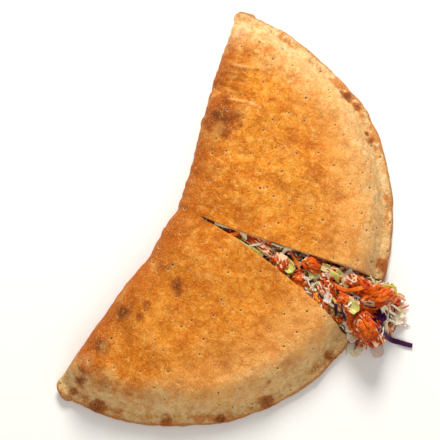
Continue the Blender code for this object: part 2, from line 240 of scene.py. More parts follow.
def section(half, u, depth):
    """A closed loop of points over the top from the fold to the rim and back underneath."""
    angle = half["corner"] + u * (half["fold"] - TIP_ANGLE - half["corner"])
    start = fold_point(half, u * (DISC_RADIUS - TIP_INSET))
    end = rim_point(half, angle)
    length = cut_length(half) if u == 0 else (end - start).length
    corner = rim_point(half, half["corner"])
    room = shoulder_room(length)
    sides = []
    for lines, over in ((TOP_LINES, True), (BASE_LINES, False)):
        places = line_places(length, lines)
        if depth:
            places = inset_places(places, room * (depth + INNER_FOLD), room * INNER_SEAM, room)
        points = []
        for place in places:
            share = place / length
            along_cut = share * cut_length(half)
            bend = cut_edge(half, along_cut) - corner * share
            point = start.lerp(end, share) + bend * (1 - u) ** CUT_FADE
            from_fold, from_rim = edge_distances(half, point)
            x = half["side"] * point.x
            if depth:
                shift = HOLLOW_SHIFT * depth
                inner = [max(distance - shift, 0.0) for distance in (from_fold, from_rim)]
                height = max(top_height(*inner, x, point.y) - 2 * depth, HOLLOW_LEAST)
                z = depth + (height if over else 0.0)
            elif over:
                z = top_height(from_fold, from_rim, x, point.y)
            else:
                z = base_height(from_fold, from_rim)
            points.append(Vector((x, point.y, z)))
        sides.append(points)
    tops, bases = sides
    tops[0] = (tops[0] + bases[0]) / 2
    tops[-1] = (tops[-1] + bases[-1]) / 2
    return tops + bases[-2:0:-1]


def add_loop(mesh, points):
    return [mesh.verts.new(point) for point in points]


def join_loops(mesh, first, second, keep=None, face_slot=0):
    """Faces between two loops, all the way round or only where both positions are kept."""
    count = len(first)
    for i in range(count):
        j = (i + 1) % count
        if keep is None or (i in keep and j in keep):
            face = mesh.faces.new((first[i], first[j], second[j], second[i]))
            face.material_index = face_slot


def close_end(mesh, loop, reach, rings):
    """Rounds a skin's end off to a point `reach` past its last loop."""
    middle = sum((vertex.co for vertex in loop), Vector()) / len(loop)
    across = loop[0].co - loop[len(loop) // 2].co
    outward = Vector((across.y, -across.x, 0)).normalized()
    if outward.dot(middle) < 0:
        outward = -outward
    start = [vertex.co - middle for vertex in loop]
    for i in range(1, rings):
        turn = pi / 2 * i / rings
        ring = [middle + point * cos(turn) + outward * reach * sin(turn) for point in start]
        following = add_loop(mesh, ring)
        join_loops(mesh, loop, following)
        loop = following
    tip = mesh.verts.new(middle + outward * reach)
    for i, vertex in enumerate(loop):
        mesh.faces.new((vertex, loop[(i + 1) % len(loop)], tip))


def skin(mesh, half, depth, shares, reach, rings):
    """One skin of a half at a depth in the dough, from the cut to its tip. Gives the first loop."""
    loops = [add_loop(mesh, section(half, u, depth)) for u in shares]
    for first, second in zip(loops, loops[1:]):
        join_loops(mesh, first, second)
    close_end(mesh, loops[-1], reach, rings)
    return loops[0]


def cut_positions():
    """Positions round a section's loop that lie past the end of the hinge, on the cut itself."""
    top = TOP_LINES[0]
    count = sum(TOP_LINES) + sum(BASE_LINES)
    return set(range(top, count - BASE_LINES[0] + 1))


def shell_mesh():
    """The smooth shell: outer skin, hollow, and the cut faces as rings between the two."""
    mesh = bmesh.new()
    for half in HALVES:
        outer_shares = [(i / SECTIONS) ** SECTION_EASE for i in range(SECTIONS + 1)]
        inner_shares = [HOLLOW_SHARE * i / HOLLOW_SECTIONS for i in range(HOLLOW_SECTIONS + 1)]
        outside = skin(mesh, half, 0, outer_shares, TIP_LENGTH, TIP_RINGS)
        inside = skin(mesh, half, DOUGH, inner_shares, 0.0, 1)
        keep = cut_positions()
        loop = outside
        for i in range(1, CUT_RINGS + 1):
            following = inside
            if i < CUT_RINGS:
                share = i / CUT_RINGS
                places = [a.co.lerp(b.co, share) for a, b in zip(outside, inside)]
                following = [mesh.verts.new(p) if k in keep else None for k, p in enumerate(places)]
            join_loops(mesh, loop, following, keep, 1)
            loop = following
    bmesh.ops.remove_doubles(mesh, verts=mesh.verts, dist=MERGE_DISTANCE)
    bmesh.ops.dissolve_degenerate(mesh, edges=mesh.edges, dist=SHORTEST_EDGE)
    bmesh.ops.recalc_face_normals(mesh, faces=mesh.faces)
    return mesh


# Where the oven marked the dough, in mm from the bend of the fold, +X to the right half. A blister:
# place, radius and how dark it is burnt. A crease: its two ends, its bow, height and width.
BLISTERS = (
    (73, 2, 12.5, 0.95), (82, -5, 8, 0.45), (68, 8, 7, 0.4), (104, 15, 10, 0.4), (110, 8, 9, 0.3),
    (96, -2, 7, 0.25), (135.5, -74, 4.8, 1), (132, -84, 3.6, 0.8), (112.7, -104, 3.6, 0.8),
    (116, -100, 2, 1), (32, -155, 5, 0.75), (60, -21, 8, 0.28), (90, -23, 8, 0.2), (40, -12, 9, 0.26),
    (52, -48, 6, 0.15), (-53.1, -27.6, 6, 0.85), (-45.2, -10.1, 5.5, 0.6), (-88, -1, 6.8, 1),
    (-117, 2, 7, 1), (-85.1, -13, 4, 0.6), (-75, -13.4, 3.6, 0.55), (-96, -12.5, 3, 0.4),
    (-69, -29, 5, 0.3), (-33, -62, 4, 0.3), (-46.6, -151, 4.5, 0.75), (-98.4, -124, 6.5, 0.7),
    (-85, -118, 3, 0.4), (-125, -100, 5.5, 0.85), (-145.5, -65, 6.5, 0.6), (-159, -15, 7, 0.75),
    (-146.4, 4, 4, 1), (162.5, 30, 4.5, 0.9), (-90, -50, 7, 0.25), (-138, 6, 4, 0.55),
    (-156, 6, 4.5, 0.65),
)
CREASES = (
    (-33.7, -38.1, -24.9, -69.7, 2, 0.85, 1.1), (-69.9, -46.2, -60, -62.3, 2.4, 0.55, 1.1),
    (-18, -34, -25, -56, -2, 0.4, 1), (-137, 12, -156, -28, -5, 0.9, 1.4),
    (15.8, -107.2, 34.7, -114.9, 1.5, -0.6, 1.1), (50.4, -135.3, 84, -128.8, -6, 1, 2.2),
    (-28.5, -152.2, -53.1, -144.1, -3, -1.8, 3), (-30, -144, -62, -129, -4, 1, 4),
    (98.3, 18.4, 98.3, -5.2, 2.4, -0.8, 1.3), (103.3, 14.2, 108.6, -14.1, -1.8, -0.6, 1.2),
    (92.4, 17, 92.5, -0.6, 1.6, -0.7, 1.2), (87, 6, 93, -25, -1.8, 0.5, 1.4),
    (113, 15, 121, -8, 1.5, 0.5, 1.8),
)
PRICK_SPACING = 0.0150
PRICK_DEPTH = 0.00055
PRICK_RADIUS = 0.0013
PRICK_STRAY = 0.22                  # of the spacing
PRICK_KEPT = 0.88                   # the share of holes that the oven leaves open
PRICK_SEED = 41
SWELLS = ((34, 0.00090), (82, 0.00065), (190, 0.00030), (430, 0.00012))   # wave number, height
SEAM_WAVES = ((95, 3.0, 0.0006), (230, 9.0, 0.0004))    # wave number, offset, height on the rim
PULL = (0.0360, 0.00090)            # how far the wrinkles run in from the fold, and their height
PULL_WAVES = (170, 34)              # along the fold and away from it
BLISTER_LIFT = 0.00085
BLISTER_FULL = 0.006                # a blister of this radius or more has the full lift
BLISTER_WAVES = ((120, 5.0, 0.45), (330, 2.0, 0.40))
BASE_SINK = 0.00035                 # how unevenly the base lay on the stone


def steps(values, low, high):
    """A smooth step from 0 to 1 while the values go from low to high."""
    share = np.clip((values - low) / (high - low), 0, 1)
    return share * share * (3 - 2 * share)


def noise_at(places, wave, offset=0.0, stretch=(1, 1, 1)):
    """Smooth noise, mostly within 0.5 of zero and at most about 1, in `wave` cells to the unit."""
    scaled = places * (np.array(stretch) * wave) + offset
    return np.array([noise.noise(Vector(p)) for p in scaled])


def prick_places():
    """The holes of a dough docker: rows a little uneven, some of them closed again in the oven."""
    draw = np.random.default_rng(PRICK_SEED)
    span = int(DISC_RADIUS / PRICK_SPACING) + 1
    rows, columns = np.mgrid[-span:span + 1, -span:2].reshape(2, -1)
    places = np.stack([rows + 0.5 * (columns % 2), columns], 1) * PRICK_SPACING
    places += draw.normal(0, PRICK_STRAY * PRICK_SPACING, places.shape)
    return places[draw.random(len(places)) < PRICK_KEPT]


def along_stroke(flat, start, end, bow):
    """Distance of each place from a bowed stroke, and how far along it is, 0 to 1."""
    start, end = np.array(start), np.array(end)
    run = end - start
    share = np.clip((flat - start) @ run / (run @ run), 0, 1)
    side = np.array([run[1], -run[0]]) / np.hypot(*run)
    nearest = start + share[:, None] * run + side * (bow * 4 * share * (1 - share))[:, None]
    return np.linalg.norm(flat - nearest, axis=1), share


def waves_at(places, waves):
    """The sum of some waves, each given as its wave number, offset and height."""
    return sum(height * noise_at(places, wave, offset) for wave, offset, height in waves)


def set_values(data, **values):
    """Stores one number or one vector for each point of a mesh, by name."""
    for name, numbers in values.items():
        numbers = np.asarray(numbers, np.float32)
        kind, key = ("FLOAT_VECTOR", "vector") if numbers.ndim == 2 else ("FLOAT", "value")
        data.attributes.new(name, kind, "POINT").data.foreach_set(key, numbers.ravel())


def mesh_arrays(data):
    """The places and the normals of a mesh's points, as two arrays."""
    places = np.empty(len(data.vertices) * 3, np.float32)
    normals = np.empty_like(places)
    data.vertices.foreach_get("co", places)
    data.vertices.foreach_get("normal", normals)
    return places.reshape(-1, 3).astype(float), normals.reshape(-1, 3).astype(float)


def bake_dough(data):
    """Pushes the smooth shell in and out along its normals, and notes what the oven did where and where
    painted shade and highlight go on its swells, creases and holes.
    """
    places, normals = mesh_arrays(data)
    flat = places[:, :2]
    edges = np.empty((len(places), 2))
    for i, (x, y) in enumerate(flat):
        half = HALVES[0] if x >= 0 else HALVES[1]
        edges[i] = edge_distances(half, Vector((abs(x), y)))
    from_fold, from_rim = edges.T
    over = steps(normals[:, 2], -0.2, 0.5)
    seam = 1 - steps(from_rim, SEAM_WIDTH, SEAM_WIDTH + 0.004)
    swells = [height * noise_at(places, wave, 7.3 * wave) for wave, height in SWELLS]
    push = sum(swells) + seam * waves_at(places, SEAM_WAVES)
    reach, height = PULL
    angle = np.arctan2(flat[:, 1], np.abs(flat[:, 0]) + 0.02)
    pulled = np.stack([flat[:, 0] * PULL_WAVES[0], from_fold * PULL_WAVES[1], angle], 1)
    wrinkle = np.array([noise.noise(Vector(p)) for p in pulled])
    push += height * wrinkle * np.exp(-(from_fold / reach) ** 2) * steps(flat[:, 0], -0.12, 0.05)
    # For the colour only: +1 in the hollows of the swells (painted shade), -1 on their tops (painted
    # highlight).
    dip = -2 * sum(swells[1:]) / sum(height for wave, height in SWELLS[1:]) * (1 - seam)
    char = np.zeros(len(places))
    wobble = 1 + waves_at(places, BLISTER_WAVES)
    for x, y, radius, dark in np.array(BLISTERS) * (MM, MM, MM, 1):
        away = np.linalg.norm(flat - (x, y), axis=1) * wobble / radius
        push += over * BLISTER_LIFT * min(radius / BLISTER_FULL, 1) * np.exp(-away ** 2 * 1.4)
        char = np.maximum(char, dark * np.exp(-away ** 2 * 1.1))
    # For the colour only: painted highlight along raised creases, painted shade along sunken ones.
    ridge = np.zeros(len(places))
    for *ends, bow, high, width in np.array(CREASES) * MM:
        away, share = along_stroke(flat, ends[:2], ends[2:], bow)
        line = np.exp(-(away / width) ** 2) * np.sqrt(np.clip(4 * share * (1 - share), 0, 1))
        push += over * high * line
        ridge = np.maximum(ridge, line * np.sign(high)) if high > 0 else np.minimum(ridge, -line)
    holes = prick_places()
    nearest = np.zeros((len(places), 2))
    best = np.full(len(places), 1.0)
    for hole in holes:
        away = np.linalg.norm(flat - hole, axis=1)
        closer = away < best
        best[closer] = away[closer]
        nearest[closer] = (flat - hole)[closer]
    push -= over * PRICK_DEPTH * np.exp(-(best / PRICK_RADIUS) ** 2)
    under = steps(-normals[:, 2], 0.6, 0.95) * (places[:, 2] < 0.0012)
    push = push * (1 - under) - under * BASE_SINK * (1 + noise_at(places, 160, 2.0))
    places += normals * push[:, None]
    places[:, 2] = np.maximum(places[:, 2], 0.0)
    data.vertices.foreach_set("co", places.astype(np.float32).ravel())
    to_hole = np.column_stack([nearest / MM, 30 * (1 - over)])
    set_values(data, from_rim=from_rim / MM, from_fold=from_fold / MM, char=char * over,
               ridge=ridge * over, dip=dip * over, under=under, to_hole=to_hole)


def linear(red, green, blue):
    """A colour as it is mixed on a palette, 0 to 255, in the linear values that shaders take."""
    parts = [value / 255 for value in (red, green, blue)]
    return tuple(p / 12.92 if p <= 0.04045 else ((p + 0.055) / 1.055) ** 2.4 for p in parts) + (1.0,)


class Wire:
    """A shader socket that can be added to and multiplied like a number."""

    def __init__(self, finish, socket):
        self.finish = finish
        self.socket = socket

    def join(self, operation, other):
        values = {0: self, 1: other}
        return self.finish.add("ShaderNodeMath", {"operation": operation}, values)

    def __add__(self, other):
        return self.join("ADD", other)

    def __sub__(self, other):
        return self.join("SUBTRACT", other)

    def __mul__(self, other):
        return self.join("MULTIPLY", other)


class Finish:
    """A Principled material. Every node comes from add: its type, settings, and socket values."""

    def __init__(self, name, **uniform):
        self.material = bpy.data.materials.new(name)
        self.material.use_nodes = True
        self.nodes = self.material.node_tree.nodes
        self.links = self.material.node_tree.links
        self.shader = self.nodes["Principled BSDF"]
        for socket, value in uniform.items():
            self.shader.inputs[socket.replace("_", " ")].default_value = value

    def add(self, kind, settings=None, sockets=None, output=0):
        node = self.nodes.new(kind)
        settings = dict(settings or {})
        stops = settings.pop("stops", ())
        for key, value in settings.items():
            setattr(node, key, value)
        for i, (position, colour) in enumerate(stops):
            node.color_ramp.interpolation = "CONSTANT"
            stop = node.color_ramp.elements[0] if i == 0 else node.color_ramp.elements.new(position)
            stop.color = linear(*colour)
        for key, value in (sockets or {}).items():
            self.put(node.inputs[key], value)
        return Wire(self, node.outputs[output])

    def put(self, socket, value):
        if isinstance(value, Wire):
            self.links.new(value.socket, socket)
        else:
            socket.default_value = value

    def feed(self, **sockets):
        for key, value in sockets.items():
            self.put(self.shader.inputs[key.replace("_", " ")], value)

    def place(self):
        return self.add("ShaderNodeTexCoord", output=3)

    def attribute(self, name, output=2):
        return self.add("ShaderNodeAttribute", {"attribute_name": name}, output=output)

    def noise(self, scale, detail=3.0, roughness=0.55, place=None, distortion=0.0):
        sockets = {"Vector": place or self.place(), "Scale": scale, "Detail": detail}
        sockets.update({"Roughness": roughness, "Distortion": distortion})
        return self.add("ShaderNodeTexNoise", None, sockets)

    def between(self, value, low, high, start=0.0, end=1.0):
        """A smooth step from `start` to `end` while the value goes from low to high."""
        sockets = {"Value": value, "From Min": low, "From Max": high, "To Min": start, "To Max": end}
        return self.add("ShaderNodeMapRange", {"interpolation_type": "SMOOTHSTEP"}, sockets)

    def mix(self, share, first, second):
        sockets = {0: share, 6: first, 7: second}
        return self.add("ShaderNodeMix", {"data_type": "RGBA"}, sockets, output=2)

    def tints(self, colour, *rows):
        """Blends palette colours in, in turn: what steers it, from low to high, the most, colour."""
        for value, low, high, most, shade in rows:
            colour = self.mix(self.between(value, low, high, 0.0, most), colour, linear(*shade))
        return colour

    def bumps(self, height, distance, strength):
        sockets = {"Height": height, "Distance": distance, "Strength": strength}
        return self.add("ShaderNodeBump", None, sockets)


def crust_finish():
    """Baked dough: golden brown over the crown, pale on the slope to the rim, burnt on blisters."""
    f = Finish("baked_crust", Subsurface_Weight=0.05, Subsurface_Scale=0.003, Specular_IOR_Level=0.15,
               Subsurface_Radius=(1.0, 0.45, 0.2))
    place = f.place()
    broad = f.noise(24, 3, 0.5, place)
    patch = f.noise(70, 4, 0.62, place, 0.5)
    mottle = f.noise(210, 5, 0.68, place, 0.4)
    freckle_and_glint = f.noise(800, 3, 0.6, place)
    rim, fold = f.attribute("from_rim"), f.attribute("from_fold")
    char, ridge, dip = f.attribute("char"), f.attribute("ridge"), f.attribute("dip")
    wander = rim + (broad - 0.5) * 36 + (patch - 0.5) * 24 + (mottle - 0.5) * 12
    across = f.add("ShaderNodeSeparateXYZ", None, {"Vector": place})
    golden = f.tints(
        linear(236, 150, 40),
        (broad, 0.34, 0.66, 1.0, (220, 128, 18)),
        (patch, 0.44, 0.72, 0.75, (192, 98, 6)),
        (patch, 0.48, 0.24, 0.50, (248, 178, 80)),
        (mottle, 0.49, 0.67, 0.75, (184, 90, 4)),
        (mottle, 0.48, 0.33, 0.75, (252, 184, 90)),
        (across, 0.02, -0.03, 0.30, (196, 104, 6)),
    )
    inner = f.between(fold, 45, 105)
    golden = f.mix(f.between(wander, 66, 30, 0.0, 0.65) * inner, golden, linear(250, 182, 100))
    golden = f.mix(f.between(patch, 0.46, 0.64, 0.0, 0.45) * inner, golden, linear(204, 118, 36))
    golden = f.tints(golden, (fold, 32, 3, 0.75, (170, 80, 2)))
    pale = f.tints(linear(234, 204, 150), (mottle, 0.38, 0.64, 1.0, (216, 170, 106)))
    colour = f.mix(f.between(wander, 40, 6, 0.0, 0.90), golden, pale)
    seam = f.between(patch + (mottle - 0.5) * 0.5, 0.47, 0.62)
    colour = f.mix(f.between(rim, 9.5, 6.5) * seam * 0.75, colour, linear(196, 112, 40))
    edge = rim + (patch - 0.5) * 5 + (mottle - 0.5) * 3
    burn = char + (mottle - 0.5) * 0.7 * f.between(char, 0.05, 0.4)
    hole = f.add("ShaderNodeVectorMath", {"operation": "LENGTH"}, {0: f.attribute("to_hole", 1)}, 1)
    hole = hole + (patch - 0.5) * 2.2
    colour = f.tints(
        colour,
        (edge, 2.6, 0.6, 0.75, (166, 92, 32)),
        (burn, 0.08, 0.50, 0.85, (162, 78, 8)),
        (burn, 0.45, 0.95, 0.80, (104, 46, 6)),
        (freckle_and_glint, 0.52, 0.72, 0.50, (160, 80, 20)),
        # The pale freckles are painted glints; the dark ones are the crust's own freckles.
        (freckle_and_glint, 0.46, 0.27, 0.50, (255, 206, 124)),
        # Painted shade in the hollows of the swells, painted highlight on their tops.
        (dip, 0.15, 1.0, 0.35, (160, 78, 8)),
        (dip, -0.15, -1.0, 0.28, (250, 188, 100)),
        # Painted highlight on raised creases, painted shade in sunken creases.
        (ridge, 0.3, 0.9, 0.50, (248, 192, 122)),
        (ridge, -0.2, -0.8, 0.70, (132, 64, 14)),
        # Painted highlight ringing each pricked hole, and painted shade inside it.
        (hole, 1.7, 0.8, 0.28, (250, 206, 144)),
        (hole, 0.58, 0.28, 0.85, (66, 30, 6)),
    )
    scorch = f.tints(linear(206, 150, 84), (patch, 0.40, 0.62, 1.0, (150, 84, 34)))
    colour = f.mix(f.attribute("under"), colour, scorch)
    grain = f.noise(480, 5, 0.62, place) * 0.8 + mottle * 1.5 - f.between(hole, 1.1, 0.3, 0.0, 0.8)
    f.feed(Base_Color=colour, Roughness=f.between(mottle, 0.3, 0.7, 0.52, 0.68))
    f.feed(Normal=f.bumps(grain, 0.0012, 0.8))
    return f.material


def crumb_finish():
    """The cut face: cream crumb with small holes."""
    f = Finish("cut_crumb", Roughness=0.75, Subsurface_Weight=0.15, Subsurface_Scale=0.004)
    place = f.place()
    cells = f.add("ShaderNodeTexVoronoi", None, {"Vector": place, "Scale": 620.0})
    fine = f.noise(380, 4, 0.6, place)
    # The crumb's small holes are darkened as painted shade.
    colour = f.tints(linear(232, 204, 158), (fine, 0.35, 0.65, 1.0, (196, 150, 98)),
                     (cells, 0.30, 0.12, 0.6, (150, 100, 56)))
    f.feed(Base_Color=colour, Normal=f.bumps(cells + fine * 0.6, 0.0006, 0.9))
    return f.material


PRESSED = 0.002                     # what would sink into the floor is pressed flat below here
SUNK = -0.0001


def finished_mesh(name, mesh, *looks):
    """The plain mesh of a bmesh, which is freed, shaded smooth and given its materials."""
    data = bpy.data.meshes.new(name)
    mesh.to_mesh(data)
    mesh.free()
    data.shade_smooth()
    for look in looks:
        data.materials.append(look)
    return data


def placed(name, data):
    """A new object in the scene, at the origin."""
    item = bpy.data.objects.new(name, data)
    bpy.context.scene.collection.objects.link(item)
    return item


def add_piece(name, data, slot, *nodes):
    """Puts a piece in the scene, clear of the floor, and hides the nodes it stands for; its slot is not
    used.
    """
    places = mesh_arrays(data)[0]
    if places[:, 2].min() < SUNK:
        low = places[:, 2] < PRESSED
        places[low, 2] = PRESSED * np.exp(places[low, 2] / PRESSED - 1)
        data.vertices.foreach_set("co", places.ravel())
        data.update()
    piece = placed(name, data)
    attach(piece, "root")
    if nodes:
        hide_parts(*nodes)
    return piece


shell = finished_mesh("dough_shell", shell_mesh(), crust_finish(), crumb_finish())
bake_dough(shell)
shell.transform(Matrix.Translation((*BEND, 0.0)))
add_piece("dough_shell", shell, "crust", "crust")


# --- The filling ----------------------------------------------------------------------------------
# Chopped chicken, cabbage and carrot, packed into the hollow, heaped in the cut and spilled out of
# its mouth. This piece is the damp mass under the loose shreds. It lies a little lower than they
# do, and is a mosaic of small bits; the dark in the gaps between them and where it sinks in is
# painted shade.

CORE_VOXEL = 0.0013
CORE_SINK = 0.0018                  # how far the mass lies below the top of the heap
CORE_WAVES = ((170, 170, 0.0016), (420, 420, 0.0008))
MOUTH = 0.1605                      # distance from the bend to the mouth of the cut
CUT_START = (0.020, 0.026)          # where the cut begins to lie open, from the bend
OPEN_MARGIN = 0.0016                # the mass is left alone this close to the cut faces
SPILL_HEART = (BEND.x - 0.006, BEND.y - 0.158)
SPILL_KEPT = (0.88, 0.22)           # the mass's share of the spill, and how much less on one side
SPILL_BARE = radians(-128)          # the bearing of that side
SPILL_BARE_WIDTH = radians(34)
SPILL_EASE = 0.008
FLOOR_GAP = 0.0003


def merged_copy(*nodes):
    """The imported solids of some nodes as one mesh, with the corners of their triangles joined."""
    mesh = bmesh.new()
    for node in nodes:
        mesh.from_mesh(frame["nodes"][node].data)
    bmesh.ops.remove_doubles(mesh, verts=mesh.verts, dist=MERGE_DISTANCE)
    return mesh


def plain_result(name, carrier):
    """The plain mesh of an object as its modifiers leave it; the object is then removed."""
    bpy.context.view_layer.update()
    shown = carrier.evaluated_get(bpy.context.evaluated_depsgraph_get())
    data = bpy.data.meshes.new_from_object(shown)
    data.name = name
    bpy.data.objects.remove(carrier, do_unlink=True)
    return data


def open_share(places):
    """1 where the filling lies open between the cut faces or past the rim, 0 under the dough."""
    x = places[:, 0] - BEND.x
    away = BEND.y - places[:, 1]
    inside = np.full(len(x), 1.0)
    for half in HALVES:
        line = [cut_edge(half, cut_length(half) * i / 40) for i in range(41)]
        edge = np.interp(away, [-p.y for p in line], [p.x for p in line])
        room = edge - half["side"] * x
        inside = np.minimum(inside, steps(room, 0.0, OPEN_MARGIN))
    return np.maximum(inside, steps(away, MOUTH, MOUTH + 0.002)) * steps(away, *CUT_START)


def stuffing_finish():
    """A mosaic of small bits, each of one ingredient, with the gaps between them darkened as painted shade.
    """
    f = Finish("packed_filling", Roughness=0.42, Subsurface_Weight=0.1, Subsurface_Scale=0.003)
    place = f.place()
    warp = f.add("ShaderNodeTexNoise", None, {"Vector": place, "Scale": 190.0}, 1)
    bent = f.add("ShaderNodeVectorMath", {"operation": "MULTIPLY_ADD"},
                 {0: warp, 1: (0.007, 0.007, 0.007), 2: place})
    cells = {"Vector": bent, "Scale": 300.0}
    bits = f.add("ShaderNodeTexVoronoi", None, cells, 1)
    gaps = f.add("ShaderNodeTexVoronoi", {"feature": "DISTANCE_TO_EDGE"}, cells)
    kinds = (
        (0.00, (214, 196, 152)), (0.24, (186, 180, 96)), (0.36, (206, 74, 18)),
        (0.62, (122, 28, 10)), (0.74, (232, 170, 136)), (0.84, (224, 106, 16)),
        (0.94, (70, 26, 60)),
    )
    choice = f.add("ShaderNodeSeparateColor", None, {"Color": bits})
    colour = f.add("ShaderNodeValToRGB", {"stops": kinds}, {"Fac": choice})
    streak = f.noise(700, 4, 0.6, place)
    # The dark gaps between the bits are painted shade.
    colour = f.tints(colour, (streak, 0.35, 0.70, 0.45, (96, 44, 16)),
                     (gaps, 0.10, 0.02, 0.85, (34, 14, 6)))
    # Painted shade where the open mass sinks in.
    colour = f.mix(f.attribute("deep"), colour, linear(28, 12, 5))
    f.feed(Base_Color=colour, Normal=f.bumps(gaps * 1.4 + streak * 0.3, 0.0009, 0.8))
    return f.material


core_carrier = placed("filling_start", finished_mesh("filling_start", merged_copy("filling")))
remesh = core_carrier.modifiers.new("remesh", "REMESH")
remesh.mode = "VOXEL"
remesh.voxel_size = CORE_VOXEL
core = plain_result("filling_mass", core_carrier)
core_places, core_normals = mesh_arrays(core)
bare = open_share(core_places)
relief = waves_at(core_places, CORE_WAVES)
lifted = bare * (relief - CORE_SINK)
core_places += core_normals * lifted[:, None]
spilled = core_places[:, :2] - np.array(SPILL_HEART)
bearing = np.arctan2(spilled[:, 1], spilled[:, 0])
kept = SPILL_KEPT[0] - SPILL_KEPT[1] * np.exp(-((bearing - SPILL_BARE) / SPILL_BARE_WIDTH) ** 2)
drawn_in = 1 - (1 - kept) * steps(BEND.y - core_places[:, 1], MOUTH, MOUTH + SPILL_EASE)
core_places[:, :2] = spilled * drawn_in[:, None] + np.array(SPILL_HEART)
core_places[:, 2] = np.maximum(core_places[:, 2], FLOOR_GAP)
core.vertices.foreach_set("co", core_places.astype(np.float32).ravel())
# Painted shade: the open mass is darkened where its relief sinks in.
set_values(core, deep=0.9 * bare * steps(relief, 0.0001, -0.0009))
core.shade_smooth()
core.materials.append(stuffing_finish())
add_piece("filling_mass", core, "filling", "filling")


# --- Chicken --------------------------------------------------------------------------------------
# Marinated chicken, roasted and torn: red-orange where the spice clings, pink-white and stringy
# where it was torn. The chunks are pressed into the filling; each one stands for its own solid.

# One chunk: length, width and height in mm, its turn in degrees, and how much of it is torn.
CHUNKS = (
    (26, 11, 10, 84, 0.25), (16, 12, 11, 35, 0.55), (15, 13, 12, 100, 0.30), (17, 12, 11, 84, 0.22),
    (16, 11, 11, 95, 0.35), (17, 13, 11, 60, 0.25), (17, 13, 13, 110, 0.60), (20, 13, 12, 80, 0.15),
    (27, 17, 15, 128, 0.45), (26, 18, 15, 62, 0.35),
)
CHUNK_DETAIL = 5
CHUNK_LIFT = 0.0012
TORN_FACES = 5
TORN_REACH = (0.60, 0.85)           # how far out from the middle a torn face lies, of the radius
TORN_DEPTH = 0.85                   # how much of what stands past that face is gone
MUSCLE_RELIEF = 0.0009
TEAR_DEPTH = 0.0012
TEAR_WIDTH = 0.16
LUMPS = (300, 0.0007)


def chicken_finish():
    """Roast chicken: spice over most of it, pale stringy flesh where it is torn."""
    f = Finish("roast_chicken", Subsurface_Weight=0.03, Subsurface_Scale=0.002, Specular_IOR_Level=0.22)
    place = f.place()
    torn, fibre, tone = f.attribute("torn"), f.attribute("fibre"), f.attribute("tone")
    patch = f.noise(150, 3, 0.6, place, 0.5)
    fine = f.noise(620, 4, 0.65, place)
    spice = f.tints(linear(228, 100, 0),
                    (patch + (tone - 0.5) * 0.4, 0.36, 0.66, 1.0, (196, 64, 0)),
                    (fine, 0.50, 0.72, 0.85, (100, 22, 0)),
                    (fine, 0.46, 0.28, 0.60, (246, 136, 30)))
    flesh = f.tints(linear(212, 104, 44), (fibre, 0.30, 0.75, 1.0, (244, 200, 164)))
    bared = f.between(torn + (fine - 0.5) * 0.5 + (fibre - 0.5) * 0.2, 0.60, 0.84)
    colour = f.tints(f.mix(bared, spice, flesh), (fibre, 0.22, 0.0, 0.7, (104, 24, 8)))
    f.feed(Base_Color=colour, Roughness=f.between(fine, 0.3, 0.7, 0.42, 0.62))
    f.feed(Normal=f.bumps(fine + fibre * 0.6, 0.0006, 0.7))
    return f.material


def chunk_mesh(name, centre, length, width, height, turn, share, seed):
    """A lump with flat torn faces, ridged along its length like muscle."""
    mesh = bmesh.new()
    bmesh.ops.create_icosphere(mesh, subdivisions=CHUNK_DETAIL, radius=1.0)
    unit = np.array([vertex.co[:] for vertex in mesh.verts])
    draw = np.random.default_rng(100 + seed)
    lumpy = 1.08 + waves_at(unit, ((1.1, 9.7 * seed, 0.34), (2.7, seed, 0.16)))
    places = unit * lumpy[:, None]
    torn = np.zeros(len(unit))
    for i in range(TORN_FACES):
        normal = draw.normal(0, 1, 3) + (0, 0, 0.5)
        normal /= np.linalg.norm(normal)
        past = places @ normal - draw.uniform(*TORN_REACH)
        cut = steps(past, 0.0, 0.05)
        places -= np.outer(np.maximum(past, 0) * TORN_DEPTH, normal)
        if draw.random() < share + 0.15:
            torn = np.maximum(torn, cut)
    grown = places * (length, width, height) * (MM / 2)
    strand = np.abs(noise_at(grown, 430, seed, (0.22, 1, 1)))
    tear = np.abs(noise_at(grown, 190, 5.0 + seed, (0.35, 1, 1)))
    fibre = np.clip(1.15 - 3.2 * strand, 0, 1)
    push = MUSCLE_RELIEF * (fibre - 0.6) * (0.45 + torn)
    push -= TEAR_DEPTH * np.clip(TEAR_WIDTH - tear, 0, 1) / TEAR_WIDTH
    push += LUMPS[1] * noise_at(grown, LUMPS[0], 4.0 * seed)
    grown += unit * push[:, None]
    turned = radians(turn)
    spin = np.array(((cos(turned), sin(turned), 0), (-sin(turned), cos(turned), 0), (0, 0, 1)))
    grown = grown @ spin + np.array(centre)
    for vertex, place in zip(mesh.verts, grown):
        vertex.co = place
    data = finished_mesh(name, mesh, chicken_look)
    patchy = steps(noise_at(unit, 1.9, 31.0 * seed), 0.35 - 0.6 * share, 0.6 - 0.6 * share)
    tone = np.full(len(unit), draw.random())
    set_values(data, torn=np.maximum(torn, patchy), fibre=fibre, tone=tone)
    return data


chicken_look = chicken_finish()
for number, (length, width, height, turn, share) in enumerate(CHUNKS, 1):
    low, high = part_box(f"chicken_{number}")
    middle = (Vector(low) + Vector(high)) / 2 + Vector((0, 0, CHUNK_LIFT))
    chunk = chunk_mesh(f"chicken_chunk_{number}", middle, length, width, height, turn, share, number)
    add_piece(f"chicken_chunk_{number}", chunk, "chicken", f"chicken_{number}")


# --- Shreds ---------------------------------------------------------------------------------------
# Cabbage and carrot shredded on a slicer, and strands pulled off the chicken. They lie on the heap
# as they fell. Each is a strip swept along its own bent line, cut square at its ends.

